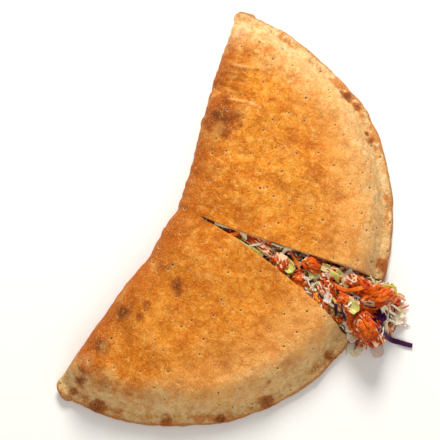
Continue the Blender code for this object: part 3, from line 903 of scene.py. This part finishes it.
STRIP_SPACING = 0.0006
heap_mesh = merged_copy(*[f"chicken_{n + 1}" for n in range(len(CHUNKS))])
heap_mesh.from_mesh(core)
heap_tree = BVHTree.FromBMesh(heap_mesh)
heap_mesh.free()
BRIDGE_REACH = (3.0, 6.0, 9.0)      # mm; a shred bridges a steep edge of the heap this far out
BRIDGE_SLOPE = 2.0
BRIDGE_WAYS = 8
LIFT_KEPT = 0.55                    # how much of its given height a shred keeps over the heap
ABOVE_ALL = 0.1


def heap_top(x, y):
    """The height of the heap at x and y mm from the bend, 0 on the floor beside it."""
    start = Vector((BEND.x + x * MM, BEND.y + y * MM, ABOVE_ALL))
    hit = heap_tree.ray_cast(start, Vector((0, 0, -1)))[0]
    return hit.z if hit else 0.0


def lie(x, y, lift=0.0):
    """The place on the heap, or where a shred hangs off its side, at x and y mm from the bend."""
    top = heap_top(x, y)
    for way in range(BRIDGE_WAYS):
        turn = 2 * pi * way / BRIDGE_WAYS
        for reach in BRIDGE_REACH:
            near = heap_top(x + reach * cos(turn), y + reach * sin(turn))
            top = max(top, near - BRIDGE_SLOPE * reach * MM)
    return Vector((BEND.x + x * MM, BEND.y + y * MM, top + lift * LIFT_KEPT * MM))


class Tree:
    """A Geometry Nodes tree with named inputs. Nodes come from add: type, settings, sockets."""

    def __init__(self, name, **inputs):
        self.group = bpy.data.node_groups.new(name, "GeometryNodeTree")
        sockets = self.group.interface
        sockets.new_socket("Geometry", in_out="INPUT", socket_type="NodeSocketGeometry")
        for key, kind in inputs.items():
            sockets.new_socket(key, in_out="INPUT", socket_type="NodeSocket" + kind)
        sockets.new_socket("Geometry", in_out="OUTPUT", socket_type="NodeSocketGeometry")
        self.given = self.group.nodes.new("NodeGroupInput").outputs
        self.result = self.group.nodes.new("NodeGroupOutput").inputs[0]

    def add(self, kind, settings=None, sockets=None, output=0):
        node = self.group.nodes.new(kind)
        for key, value in (settings or {}).items():
            setattr(node, key, value)
        for key, value in (sockets or {}).items():
            socket = next(s for s in node.inputs if s.enabled and s.name == key)
            if isinstance(value, bpy.types.NodeSocket):
                self.group.links.new(value, socket)
            else:
                socket.default_value = value
        return next(s for s in list(node.outputs)[output:] if s.enabled)

    def end(self, geometry):
        geometry = self.add("GeometryNodeRealizeInstances", None, {"Geometry": geometry})
        sockets = {"Geometry": geometry, "Material": self.given["Finish"]}
        self.group.links.new(self.add("GeometryNodeSetMaterial", None, sockets), self.result)

    def run(self, name, data, **values):
        """The plain mesh that the tree makes of a mesh."""
        carrier = placed(name, data)
        modifier = carrier.modifiers.new(name, "NODES")
        modifier.node_group = self.group
        for item in self.group.interface.items_tree:
            if item.in_out == "INPUT" and item.name in values:
                modifier[item.identifier] = values[item.name]
        return plain_result(name, carrier)


def strip_tree():
    """Sweeps a rounded rectangle along every line of a mesh and roughens what it makes."""
    tree = Tree("sweep_strips", Thickness="Float", Spacing="Float", Roughness="Float",
                Wave="Float", Finish="Material")
    given = tree.given
    line = tree.add("GeometryNodeMeshToCurve", None, {"Mesh": given["Geometry"]})
    line = tree.add("GeometryNodeCurveSplineType", {"spline_type": "CATMULL_ROM"}, {"Curve": line})
    line = tree.add("GeometryNodeSetCurveNormal", {"mode": "Z_UP"}, {"Curve": line})
    wide = tree.add("GeometryNodeInputNamedAttribute", {"data_type": "FLOAT"}, {"Name": "wide"})
    turn = tree.add("GeometryNodeInputNamedAttribute", {"data_type": "FLOAT"}, {"Name": "turn"})
    line = tree.add("GeometryNodeSetCurveTilt", None, {"Curve": line, "Tilt": turn})
    sockets = {"Curve": line, "Length": given["Spacing"]}
    line = tree.add("GeometryNodeResampleCurve", {"mode": "LENGTH"}, sockets)
    sockets = {"Width": 1.0, "Height": given["Thickness"]}
    profile = tree.add("GeometryNodeCurvePrimitiveQuadrilateral", None, sockets)
    sockets = {"Curve": profile, "Radius": 0.16, "Count": 2, "Limit Radius": True}
    profile = tree.add("GeometryNodeFilletCurve", {"mode": "POLY"}, sockets)
    sockets = {"Curve": line, "Profile Curve": profile, "Scale": wide, "Fill Caps": True}
    strip = tree.add("GeometryNodeCurveToMesh", None, sockets)
    uneven = tree.add("ShaderNodeTexNoise", None, {"Scale": given["Wave"], "Detail": 2.0}, 1)
    centred = tree.add("ShaderNodeVectorMath", {"operation": "SUBTRACT"}, {"Vector": uneven})
    centred.node.inputs[1].default_value = (0.5, 0.5, 0.5)
    offset = tree.add("ShaderNodeVectorMath", {"operation": "SCALE"},
                      {"Vector": centred, "Scale": given["Roughness"]})
    strip = tree.add("GeometryNodeSetPosition", None, {"Geometry": strip, "Offset": offset})
    strip = tree.add("GeometryNodeSetShadeSmooth", None, {"Geometry": strip})
    tree.end(strip)
    return tree


def lines_mesh(name, strips, seed):
    """The middle lines of some strips. One strip: width in mm, its turn at both ends in degrees,
    how far it narrows at its ends, and its places as (x, y, height over the heap) in mm."""
    draw = np.random.default_rng(seed)
    places, edges, wide, turn, tone = [], [], [], [], []
    for width, turns, narrow, points in strips:
        shade = draw.random()
        for i, point in enumerate(points):
            if i:
                edges.append((len(places) - 1, len(places)))
            share = i / (len(points) - 1)
            places.append(lie(*point))
            full = 1 - narrow[0] * (1 - share) ** 3 - narrow[1] * share ** 3
            wide.append(width * MM * full)
            turn.append(radians(turns[0] + (turns[1] - turns[0]) * share))
            tone.append(shade)
    data = bpy.data.meshes.new(name)
    data.from_pydata(places, edges, [])
    set_values(data, wide=wide, turn=turn, tone=tone)
    return data


strips_tree = strip_tree()


def add_strips(name, slot, strips, finish, thickness, roughness, wave, seed, *nodes):
    """One piece of strips. Thickness is a share of the width; roughness is in metres."""
    values = {"Thickness": thickness, "Spacing": STRIP_SPACING, "Roughness": roughness}
    values.update({"Wave": wave, "Finish": finish})
    data = strips_tree.run(name, lines_mesh(name, strips, seed), **values)
    return add_piece(name, data, slot, *nodes)


def leaf_finish(name, fresh, pale, dark, roughness=0.38, shine=0.5, depth=0.25):
    """Raw cabbage: wet, faintly see-through, veined, each shred a little different in colour."""
    f = Finish(name, Roughness=roughness, Specular_IOR_Level=shine, Subsurface_Weight=depth,
               Subsurface_Scale=0.003)
    place = f.place()
    vein = f.noise(420, 3, 0.6, place, 0.8)
    broad = f.noise(130, 2, 0.5, place)
    tone = f.attribute("tone")
    colour = f.tints(linear(*fresh), (broad + (tone - 0.5) * 0.6, 0.30, 0.70, 1.0, pale),
                     (vein, 0.52, 0.72, 0.45, dark))
    f.feed(Base_Color=colour, Normal=f.bumps(vein, 0.0005, 0.5))
    return f.material


white_look = leaf_finish("white_cabbage", (250, 238, 204), (234, 214, 204), (184, 150, 104))
WHITE_SHREDS = (
    (4.6, (10, 50), (0.2, 0.1), ((1, -30, 1), (3, -38, 2), (5, -46, 3), (3, -53, 3), (-1, -56, 1))),
    (3.8, (60, 10), (0.3, 0.2), ((-1, -86, 0), (4, -85, 2), (9, -87, 3.5), (12, -95, 3), (12, -104, 1))),
    (1.4, (0, 60), (0.2, 0.3), ((-9, -103, 2), (-5, -108, 4), (-9, -114, 5), (-4, -117, 5), (-7, -122, 3))),
    (1.5, (20, 80), (0.3, 0.3), ((-4, -102, 2), (-6, -108, 4), (-2, -113, 4), (-5, -118, 2))),
    (3.0, (10, 40), (0.2, 0.3), ((6, -112, 2), (0, -113, 3), (-4, -111, 3), (-6, -107, 1))),
    (1.4, (0, 30), (0.2, 0.2), ((-2, -147, 3), (-8, -145, 3.5), (-12, -144, 2))),
    (2.8, (0, 20), (0.3, 0.4), ((-10, -126, 1), (-13, -131, 2), (-14, -136, 1))),
    (2.2, (10, 30), (0.5, 0.5), ((1, -142, 3), (1, -147, 3.5))),
    (2.6, (20, -10), (0.5, 0.4), ((8, -152, 2), (6, -157, 3))),
    (3.0, (10, 60), (0.1, 0.5), ((2, -166, 2), (-4, -173, 5), (-10, -178, 5), (-14, -181, 3))),
    (2.0, (0, 20), (0.1, 0.4), ((3, -166, 3), (2, -174, 6), (3, -183, 4), (6, -189, 1))),
    (1.7, (0, 40), (0.2, 0.4), ((-3, -172, 2), (-3, -180, 6), (1, -187, 6), (1, -193, 4))),
    (1.6, (0, 70), (0.3, 0.3), ((6, -170, 2), (7, -178, 5), (6, -186, 6), (2, -188, 3))),
    (1.6, (30, 0), (0.2, 0.4), ((-5, -173, 3), (-11, -177, 4), (-14, -179, 1))),
    (1.5, (0, 60), (0.3, 0.5), ((8, -168, 3), (4, -172, 6), (-2, -174, 6))),
    (1.8, (0, 30), (0.1, 0.5), ((0, -176, 3), (-2, -184, 4), (-1, -190, 2), (2, -194, 0.8))),
    (2.2, (0, 20), (0.2, 0.4), ((-6, -170, 3), (-11, -174, 4), (-17, -176, 2), (-19, -177, 0.6))),
    (1.5, (0, 20), (0.3, 0.5), ((-34, -156, 0.8), (-37, -160, 0.8), (-40, -161, 0.6))),
    (1.6, (0, 50), (0.4, 0.4), ((5, -120, 3), (1, -124, 4), (-1, -128, 2))),
    (1.5, (0, 50), (0.4, 0.4), ((-3, -60, 2), (1, -66, 3), (5, -70, 2))),
    (1.6, (20, 50), (0.4, 0.4), ((6, -74, 2), (7, -82, 3), (8, -90, 2))),
)
add_strips("white_cabbage_shreds", "filling", WHITE_SHREDS, white_look, 0.34, 0.0012, 330, 3)

green_look = leaf_finish("green_cabbage", (206, 200, 90), (196, 184, 112), (138, 124, 44))
GREEN_SHREDS = (
    (3.6, (20, 0), (0.3, 0.1), ((-2, -48, 1), (-4, -55, 2), (-4, -63, 2.5), (-4, -73, 2))),
    (5.0, (10, 20), (0.3, 0.3), ((10, -126, 1), (9, -131, 3), (5, -136, 3.5), (2, -138, 2))),
    (4.6, (0, 40), (0.4, 0.3), ((15, -160, 2), (17, -167, 3), (14, -173, 4))),
    (4.0, (10, 30), (0.4, 0.4), ((7, -122, 1), (6, -127, 3), (3, -130, 2))),
    (2.4, (10, 30), (0.4, 0.4), ((-9, -132, 1), (-12, -137, 2), (-15, -141, 1))),
    (2.6, (0, 60), (0.4, 0.5), ((-4, -84, 1), (-6, -90, 2), (-8, -96, 1))),
)
add_strips("green_cabbage_shreds", "filling", GREEN_SHREDS, green_look, 0.26, 0.0013, 260, 5)


def carrot_finish():
    """Raw grated carrot: wet and bright, streaked along its grain."""
    f = Finish("grated_carrot", Roughness=0.34, Subsurface_Weight=0.2, Subsurface_Scale=0.003)
    place = f.place()
    streak = f.noise(330, 3, 0.6, place, 0.6)
    tone = f.attribute("tone")
    steer = streak + (tone - 0.5) * 0.4
    colour = f.tints(linear(252, 150, 22), (steer, 0.34, 0.68, 1.0, (236, 108, 6)))
    f.feed(Base_Color=colour, Normal=f.bumps(f.noise(900, 3, 0.6, place), 0.0004, 0.5))
    return f.material


CARROT_STICKS = (
    (3.4, (20, 60), (0.1, 0.1), ((-3, -44, 3), (0, -47, 4), (3, -49, 4))),
    (3.4, (10, 0), (0.3, 0.2), ((2, -124, 3), (0, -131, 4), (1, -139, 4.5), (6, -147, 4), (13, -153, 3))),
    (2.0, (30, 0), (0.2, 0.3), ((7, -90, 1), (3, -96, 2), (-1, -101, 1))),
    (2.6, (0, 30), (0.2, 0.3), ((-10, -103, 1), (-13, -108, 1.5), (-15, -112, 1))),
    (2.6, (0, 30), (0.2, 0.2), ((-12, -119, 1), (-15, -122, 2), (-17, -124, 1))),
    (2.2, (20, 0), (0.3, 0.3), ((-15, -127, 1), (-17, -130, 2), (-18, -133, 1))),
    (2.4, (0, 40), (0.3, 0.3), ((-9, -129, 2), (-10, -134, 3), (-11, -138, 1))),
    (2.4, (10, 50), (0.3, 0.5), ((12, -168, 3), (14, -175, 6), (17, -182, 5))),
    (1.8, (0, 50), (0.2, 0.5), ((6, -178, 4), (11, -183, 5), (15, -186, 4))),
    (1.8, (0, 50), (0.3, 0.4), ((-7, -172, 3), (-9, -180, 4), (-12, -184, 2))),
    (1.6, (0, 30), (0.3, 0.4), ((2, -95, 2), (3, -101, 3), (1, -106, 2))),
)
carrot_look = carrot_finish()
add_strips("carrot_sticks", "filling", CARROT_STICKS, carrot_look, 0.62, 0.0005, 300, 7)

red_look = leaf_finish("red_cabbage", (40, 6, 42), (76, 22, 74), (16, 1, 18), 0.50, 0.12, 0.0)
RED_SHREDS = (
    (2.4, (10, 40), (0.2, 0.4), ((-4, -145, 3), (-1, -149, 4), (1, -153, 3))),
    (2.6, (0, 40), (0.2, 0.3), ((-10, -133, 2), (-13, -137, 3), (-19, -140, 1.5))),
    (2.8, (10, 50), (0.3, 0.3), ((-11, -140, 2), (-15, -144, 3), (-18, -147, 1.5))),
    (2.2, (0, 70), (0.3, 0.3), ((-6, -162, 4), (-10, -167, 6), (-15, -170, 4))),
    (2.0, (0, 90), (0.3, 0.3), ((-4, -165, 4), (-6, -171, 6), (-12, -174, 4))),
    (1.6, (0, 40), (0.4, 0.4), ((-1, -163, 4), (-5, -168, 6), (-9, -172, 4))),
)
add_strips("red_cabbage_shreds", "red_cabbage", RED_SHREDS, red_look, 0.42, 0.0012, 300, 11)

LONG_STRIP = (
    (3.9, (0, 25), (0.1, 0.2), ((-15.6, -171, 1.5), (-15.0, -178, 0.5), (-14.0, -186, 0.5),
                                (-12.6, -194, 2.0), (-11, -201.5, 2.4))),
)
add_strips("red_cabbage_long_strip", "red_cabbage", LONG_STRIP, red_look, 0.7, 0.0010, 260, 13,
           "red_cabbage_strip")

# A handful of chicken: how many strands, how wide the bunch is in mm, and its middle line.
HANDFULS = (
    (5, 7, ((-9, -158, 3), (-15, -165, 6), (-20, -170, 5), (-25, -172, 2))),
    (4, 6, ((-11, -150, 3), (-17, -156, 5), (-23, -162, 4), (-27, -167, 1))),
    (4, 6, ((-15, -156, 4), (-20, -162, 6), (-25, -167, 4), (-28, -172, 1))),
    (4, 7, ((-13, -164, 5), (-20, -170, 5), (-24, -172, 3), (-27, -173, 1))),
    (4, 4, ((-13, -148, 3), (-18, -151, 4), (-22, -155, 3), (-26, -159, 1.5))),
    (5, 8, ((-3, -153, 4), (-8, -160, 6), (-12, -168, 7), (-16, -175, 4))),
    (4, 5, ((0, -155, 4), (5, -161, 7), (12, -166, 6), (16, -168, 4))),
    (4, 6, ((-2, -158, 5), (2, -165, 7), (9, -170, 6), (14, -173, 4))),
    (4, 5, ((2, -152, 4), (9, -157, 6), (15, -160, 4))),
    (4, 6, ((-4, -154, 5), (-5, -161, 6), (-7, -167, 5))),
    (2, 3, ((4, -148, 3), (1, -153, 4), (-3, -156, 3))),
    (2, 4, ((3, -146, 3), (-2, -150, 4), (-5, -154, 3))),
    (3, 4, ((-2, -134, 4), (-6, -139, 5), (-10, -143, 3))),
    (2, 3, ((2, -117, 2), (-2, -121, 4), (-3, -126, 3))),
    (3, 4, ((4, -64, 4), (6, -71, 4), (6, -78, 2))),
    (2, 3, ((-2, -76, 4), (-5, -80, 4), (-4, -85, 2))),
    (3, 4, ((5, -100, 3), (9, -107, 4), (12, -112, 2))),
    (2, 3, ((12, -140, 3), (10, -146, 4), (6, -149, 3))),
)
STRAND_WIDTHS = (1.5, 3.4)
STRAND_JITTER = 0.9                 # mm
STRAND_TURNS = (-40, 60)
STRAND_ENDS = ((0.0, 0.3), (0.75, 1.08))
STRAND_TAPER = (0.4, 0.8)


def handful_strips(handfuls, seed):
    """The strands of every handful, side by side and a little astray, each cut off at random."""
    draw = np.random.default_rng(seed)
    strips = []
    for count, spread, middle in handfuls:
        run = Vector(middle[-1]).xy - Vector(middle[0]).xy
        side = Vector((run.y, -run.x)).normalized()
        for i in range(count):
            out = spread * ((i + 0.5) / count - 0.5)
            first, last = [draw.uniform(*ends) for ends in STRAND_ENDS]
            width = draw.uniform(*STRAND_WIDTHS)
            turns = tuple(draw.uniform(*STRAND_TURNS, 2))
            points = []
            for share in np.linspace(first, last, len(middle) + 1):
                at = np.clip(share * (len(middle) - 1), 0, len(middle) - 1.001)
                place = Vector(middle[int(at)]).lerp(Vector(middle[int(at) + 1]), at % 1)
                fan = out * (0.6 + 0.6 * share)
                stray = draw.normal(0, STRAND_JITTER, 3)
                x, y = place.xy + side * fan + Vector(stray[:2])
                points.append((x, y, max(place.z + 0.5 * stray[2], 0.4)))
            strips.append((width, turns, STRAND_TAPER, points))
    return strips


strands = add_strips("chicken_strands", "chicken", handful_strips(HANDFULS, 19), chicken_look,
                     0.45, 0.0014, 520, 17)
strand_places = mesh_arrays(strands.data)[0]
strand_fibre = np.clip(0.6 + 0.9 * noise_at(strand_places, 420, 8.0), 0, 1)
set_values(strands.data, torn=0.24 + noise_at(strand_places, 75, 3.0), fibre=strand_fibre)


# --- Leaf pieces ----------------------------------------------------------------------------------
# Squares and corners of cabbage leaf that the slicer left whole, thin and a little curled.

LEAF_GRID = 12
LEAF_HALF = 0.35                    # mm, half the thickness of a leaf
LEAF_RAGGED = 0.22
LEAF_ROUND = 0.32                   # how much its corners are rounded off
LEAF_WAVE = 0.9                     # mm


def add_leaf(mesh, shades, x, y, lift, length, width, turn, lean, curl, shade):
    """A curled leaf of two layers and a rim, its outline uneven; lean tips it up at one end."""
    place = Vector((BEND.x + x * MM, BEND.y + y * MM, heap_top(x, y) + lift * MM))
    turned = Matrix.Rotation(radians(turn), 3, "Z") @ Matrix.Rotation(radians(lean), 3, "Y")
    layers = []
    for side in (1, -1):
        layer = []
        for i in range(LEAF_GRID + 1):
            for j in range(LEAF_GRID + 1):
                u = 2 * i / LEAF_GRID - 1
                v = 2 * j / LEAF_GRID - 1
                ragged = 1 + LEAF_RAGGED * noise.noise(Vector((u * 1.6 + x, v * 1.6 + y, 0.0)))
                along = u * sqrt(1 - v * v * LEAF_ROUND) * ragged * length / 2
                beside = v * sqrt(1 - u * u * LEAF_ROUND) * ragged * width / 2
                wave = noise.noise(Vector((u * 1.7 + y, v * 1.7 + x, 3.0)))
                height = curl * (v * v - 0.4) + LEAF_WAVE * wave + side * LEAF_HALF
                point = Vector((along, beside, height)) * MM
                layer.append(mesh.verts.new(place + turned @ point))
                shades.append(shade)
        layers.append(layer)
    row = LEAF_GRID + 1
    for layer, order in zip(layers, (1, -1)):
        for i in range(LEAF_GRID):
            for j in range(LEAF_GRID):
                corners = (i * row + j, (i + 1) * row + j, (i + 1) * row + j + 1, i * row + j + 1)
                mesh.faces.new([layer[c] for c in corners[::order]])
    grid = np.arange(row * row).reshape(row, row)
    ring = [*grid[:-1, 0], *grid[-1, :-1], *grid[:0:-1, -1], *grid[0, :0:-1]]
    for a, b in zip(ring, ring[1:] + ring[:1]):
        mesh.faces.new((layers[0][b], layers[0][a], layers[1][a], layers[1][b]))


def add_leaves(name, slot, leaves, finish):
    """One piece of leaves that are all of one kind."""
    mesh = bmesh.new()
    shades = []
    for leaf in leaves:
        add_leaf(mesh, shades, *leaf)
    data = finished_mesh(name, mesh, finish)
    set_values(data, tone=shades)
    add_piece(name, data, slot)


# One leaf: x, y, height over the heap, length, width, turn, lean, curl, shade.
WHITE_LEAVES = (
    (-21, -153, 0.5, 9, 7, 20, 10, 1.2, 0.4), (-26, -158, 0.5, 9, 8, 60, -8, 1.0, 0.7),
    (-32, -164, 1.4, 14, 11, 50, 6, 1.4, 0.1), (-24, -178, 2.2, 17, 11, 40, 8, 1.8, 1.0),
    (-29, -158, 0.8, 7, 5, 100, 0, 1.0, 0.8), (1, -110, 1.5, 9, 8, 30, 20, 1.8, 0.8),
    (-11, -129, 1.0, 8, 6, 10, -10, 1.2, 1.0), (12, -136, 0.6, 9, 6, 60, 20, 1.2, 0.9),
    (6, -182, 3.0, 9, 6, 80, 14, 1.6, 0.2), (17, -177, 2.0, 9, 6, 100, -16, 1.5, 0.1),
    (-2, -148, 3.5, 7, 5, 100, 10, 1.0, 1.0), (-1, -182, 3.0, 10, 6, 110, 10, 1.5, 0.5),
)
GREEN_LEAVES = (
    (-3, -92, 1.0, 12, 9, 70, 16, 1.8, 0.3), (2, -111, 0.8, 12, 9, 40, 10, 1.4, 0.9),
    (-9, -147, 1.0, 12, 9, 80, 10, 1.6, 0.5), (-13, -150, 0.6, 9, 7, 120, -10, 1.2, 0.7),
    (19, -169, 2.0, 9, 7, 60, 20, 1.6, 0.0), (-6, -66, 0.6, 7, 5, 90, 10, 1.0, 0.6),
    (8, -118, 0.6, 8, 6, 100, 20, 1.4, 0.8),
)
RED_LEAVES = (
    (-5, -168, 4.0, 11, 9, 60, 20, 2.6, 0.8), (-10, -169, 3.0, 9, 7, 110, -20, 2.8, 0.6),
)
add_leaves("white_cabbage_leaves", "filling", WHITE_LEAVES, white_look)
add_leaves("green_cabbage_leaves", "filling", GREEN_LEAVES, green_look)
add_leaves("red_cabbage_leaves", "red_cabbage", RED_LEAVES, red_look)


# --- Small bits -----------------------------------------------------------------------------------
# Crumbs of chicken and chopped ends of cabbage and carrot, strewn over the filling between the
# larger pieces. One plain shape of each sort is scattered, turned and sized at random.

def bare_patch():
    """The part of the filling that lies open, facing up, as a surface to strew bits on."""
    mesh = bmesh.new()
    mesh.from_mesh(core)
    mesh.verts.ensure_lookup_table()
    shut = [v for v in mesh.verts if bare[v.index] < 0.5 or v.normal.z < 0.05]
    bmesh.ops.delete(mesh, geom=shut, context="VERTS")
    return finished_mesh("bare_patch", mesh)


def scatter_tree():
    """Strews the shapes of a collection over a mesh, each turned, sized and toned at random."""
    tree = Tree("strew_bits", Shapes="Collection", Density="Float", Smallest="Float",
                Largest="Float", Seed="Int", Finish="Material")
    given = tree.given
    sockets = {"Mesh": given["Geometry"], "Density": given["Density"], "Seed": given["Seed"]}
    points = tree.add("GeometryNodeDistributePointsOnFaces", None, sockets)
    facing = points.node.outputs["Rotation"]
    shapes = tree.add("GeometryNodeCollectionInfo", None,
                      {"Collection": given["Shapes"], "Separate Children": True, "Reset Children": True})
    size = tree.add("FunctionNodeRandomValue", {"data_type": "FLOAT"},
                    {"Min": given["Smallest"], "Max": given["Largest"], "Seed": given["Seed"]})
    sockets = {"Points": points, "Instance": shapes, "Pick Instance": True}
    sockets.update({"Rotation": facing, "Scale": size})
    bits = tree.add("GeometryNodeInstanceOnPoints", None, sockets)
    spin = tree.add("FunctionNodeRandomValue", {"data_type": "FLOAT_VECTOR"},
                    {"Min": (-0.5, -0.5, 0.0), "Max": (0.5, 0.5, 2 * pi), "Seed": given["Seed"]})
    bits = tree.add("GeometryNodeRotateInstances", None, {"Instances": bits, "Rotation": spin})
    tone = tree.add("FunctionNodeRandomValue", {"data_type": "FLOAT"}, {"Seed": given["Seed"]})
    settings = {"data_type": "FLOAT", "domain": "INSTANCE"}
    sockets = {"Geometry": bits, "Name": "tone", "Value": tone}
    tree.end(tree.add("GeometryNodeStoreNamedAttribute", settings, sockets))
    return tree


def bit_shape(name, length, width, height, bow, seed):
    """A small rounded lump or shred of unit scale: 80 faces, bowed along its length."""
    mesh = bmesh.new()
    bmesh.ops.create_icosphere(mesh, subdivisions=2, radius=1.0)
    for vertex in mesh.verts:
        uneven = 1 + 0.5 * noise.noise(vertex.co * 1.4 + Vector((seed * 3.1, 0, 0)))
        x, y, z = vertex.co * uneven
        vertex.co = Vector((x * length, y * width + bow * x * x, z * height)) * (MM / 2)
    return bpy.data.objects.new(name, finished_mesh(name, mesh))


# One kind: its slot, finish, density over a square metre, smallest and largest scale, seed, and its
# shapes as length, width, height and bow in mm.
BITS = (
    ("chicken_crumbs", "chicken", chicken_look, 60000, 0.5, 1.4, 21,
     ((3.4, 2.2, 1.8, 0.3), (2.6, 2.4, 1.9, 0.0), (5.0, 1.9, 1.6, 0.8), (4.2, 2.8, 2.0, 0.4))),
    ("cabbage_bits", "filling", white_look, 45000, 0.6, 1.3, 22,
     ((6.5, 1.3, 0.7, 1.6), (5.0, 1.6, 0.6, -1.0), (3.6, 2.6, 0.6, 0.2), (7.5, 1.1, 0.7, 2.4))),
    ("green_bits", "filling", green_look, 26000, 0.6, 1.3, 23,
     ((4.6, 2.8, 0.6, 0.4), (3.6, 2.4, 0.5, 0.2), (6.0, 1.6, 0.6, 1.4))),
    ("carrot_bits", "filling", carrot_look, 14000, 0.6, 1.2, 24,
     ((6.0, 1.6, 1.2, 0.8), (4.0, 1.8, 1.3, 0.3))),
    ("red_cabbage_bits", "red_cabbage", red_look, 8000, 0.6, 1.2, 25,
     ((5.0, 1.5, 0.8, 1.2), (3.4, 2.0, 0.8, 0.4))),
)
strew = scatter_tree()
for name, slot, finish, density, smallest, largest, seed, shapes in BITS:
    family = bpy.data.collections.new(name)
    for i, shape in enumerate(shapes):
        family.objects.link(bit_shape(f"{name}_{i + 1}", *shape, i))
    values = {"Shapes": family, "Density": float(density), "Smallest": smallest, "Largest": largest}
    strewn = strew.run(name, bare_patch(), Seed=seed, Finish=finish, **values)
    if slot == "chicken":
        crumbs = mesh_arrays(strewn)[0]
        set_values(strewn, torn=0.30 + 0.9 * noise_at(crumbs, 120, 3.0),
                   fibre=0.6 + 0.5 * noise_at(crumbs, 500, 8.0))
    add_piece(name, strewn, slot)
    for shape in list(family.objects):
        bpy.data.objects.remove(shape)
    bpy.data.collections.remove(family)


# --- Stage ----------------------------------------------------------------------------------------
# A plain pale floor, one large soft light high on the +X side, a weaker fill, and a camera that
# looks almost straight down, leaning a little over the left half.

CAMERA_LEAN = radians(9)
CAMERA_SIDE = Vector((-0.889, -0.457))
CAMERA_LENS = 110
CAMERA_SENSOR = 36
VIEW_WIDTH = 0.3290
VIEW_CENTRE = Vector((0.0071, 0.0537, 0.012))
FLOOR_SIZE = 6.0
WARM = (1.0, 0.97, 0.91)
SKY_STRENGTH = 0.42

floor_finish = Finish("pale_floor", Roughness=0.9, Specular_IOR_Level=0.1)
floor_finish.feed(Base_Color=linear(250, 250, 250))
floor_mesh = bmesh.new()
bmesh.ops.create_grid(floor_mesh, x_segments=1, y_segments=1, size=FLOOR_SIZE)
floor = placed("floor", finished_mesh("floor", floor_mesh, floor_finish.material))


def add_light(name, place, size, power):
    """A round soft light that points at the middle of the base."""
    light = bpy.data.lights.new(name, "AREA")
    light.shape = "DISK"
    light.size = size
    light.energy = power
    light.color = WARM
    lamp = placed(name, light)
    lamp.location = place
    lamp.rotation_euler = (-Vector(place)).to_track_quat("-Z", "Y").to_euler()


add_light("key_light", (1.02, 0.50, 0.86), 0.55, 22.0)
add_light("fill_light", (-0.9, -0.5, 1.2), 1.2, 5.0)
world = bpy.data.worlds.new("soft_sky")
bpy.context.scene.world = world
world.use_nodes = True
sky = world.node_tree.nodes["Background"].inputs
sky["Color"].default_value = (*WARM, 1.0)
sky["Strength"].default_value = SKY_STRENGTH
bpy.context.scene.view_settings.view_transform = "Standard"

camera_data = bpy.data.cameras.new("camera")
camera_data.lens = CAMERA_LENS
camera_data.sensor_width = CAMERA_SENSOR
camera = placed("camera", camera_data)
lean = CAMERA_SIDE.normalized() * sin(CAMERA_LEAN)
away = Vector((lean.x, lean.y, cos(CAMERA_LEAN)))
camera.location = VIEW_CENTRE + away * (VIEW_WIDTH * CAMERA_LENS / CAMERA_SENSOR)
camera.rotation_euler = away.to_track_quat("Z", "Y").to_euler()
bpy.context.scene.camera = camera
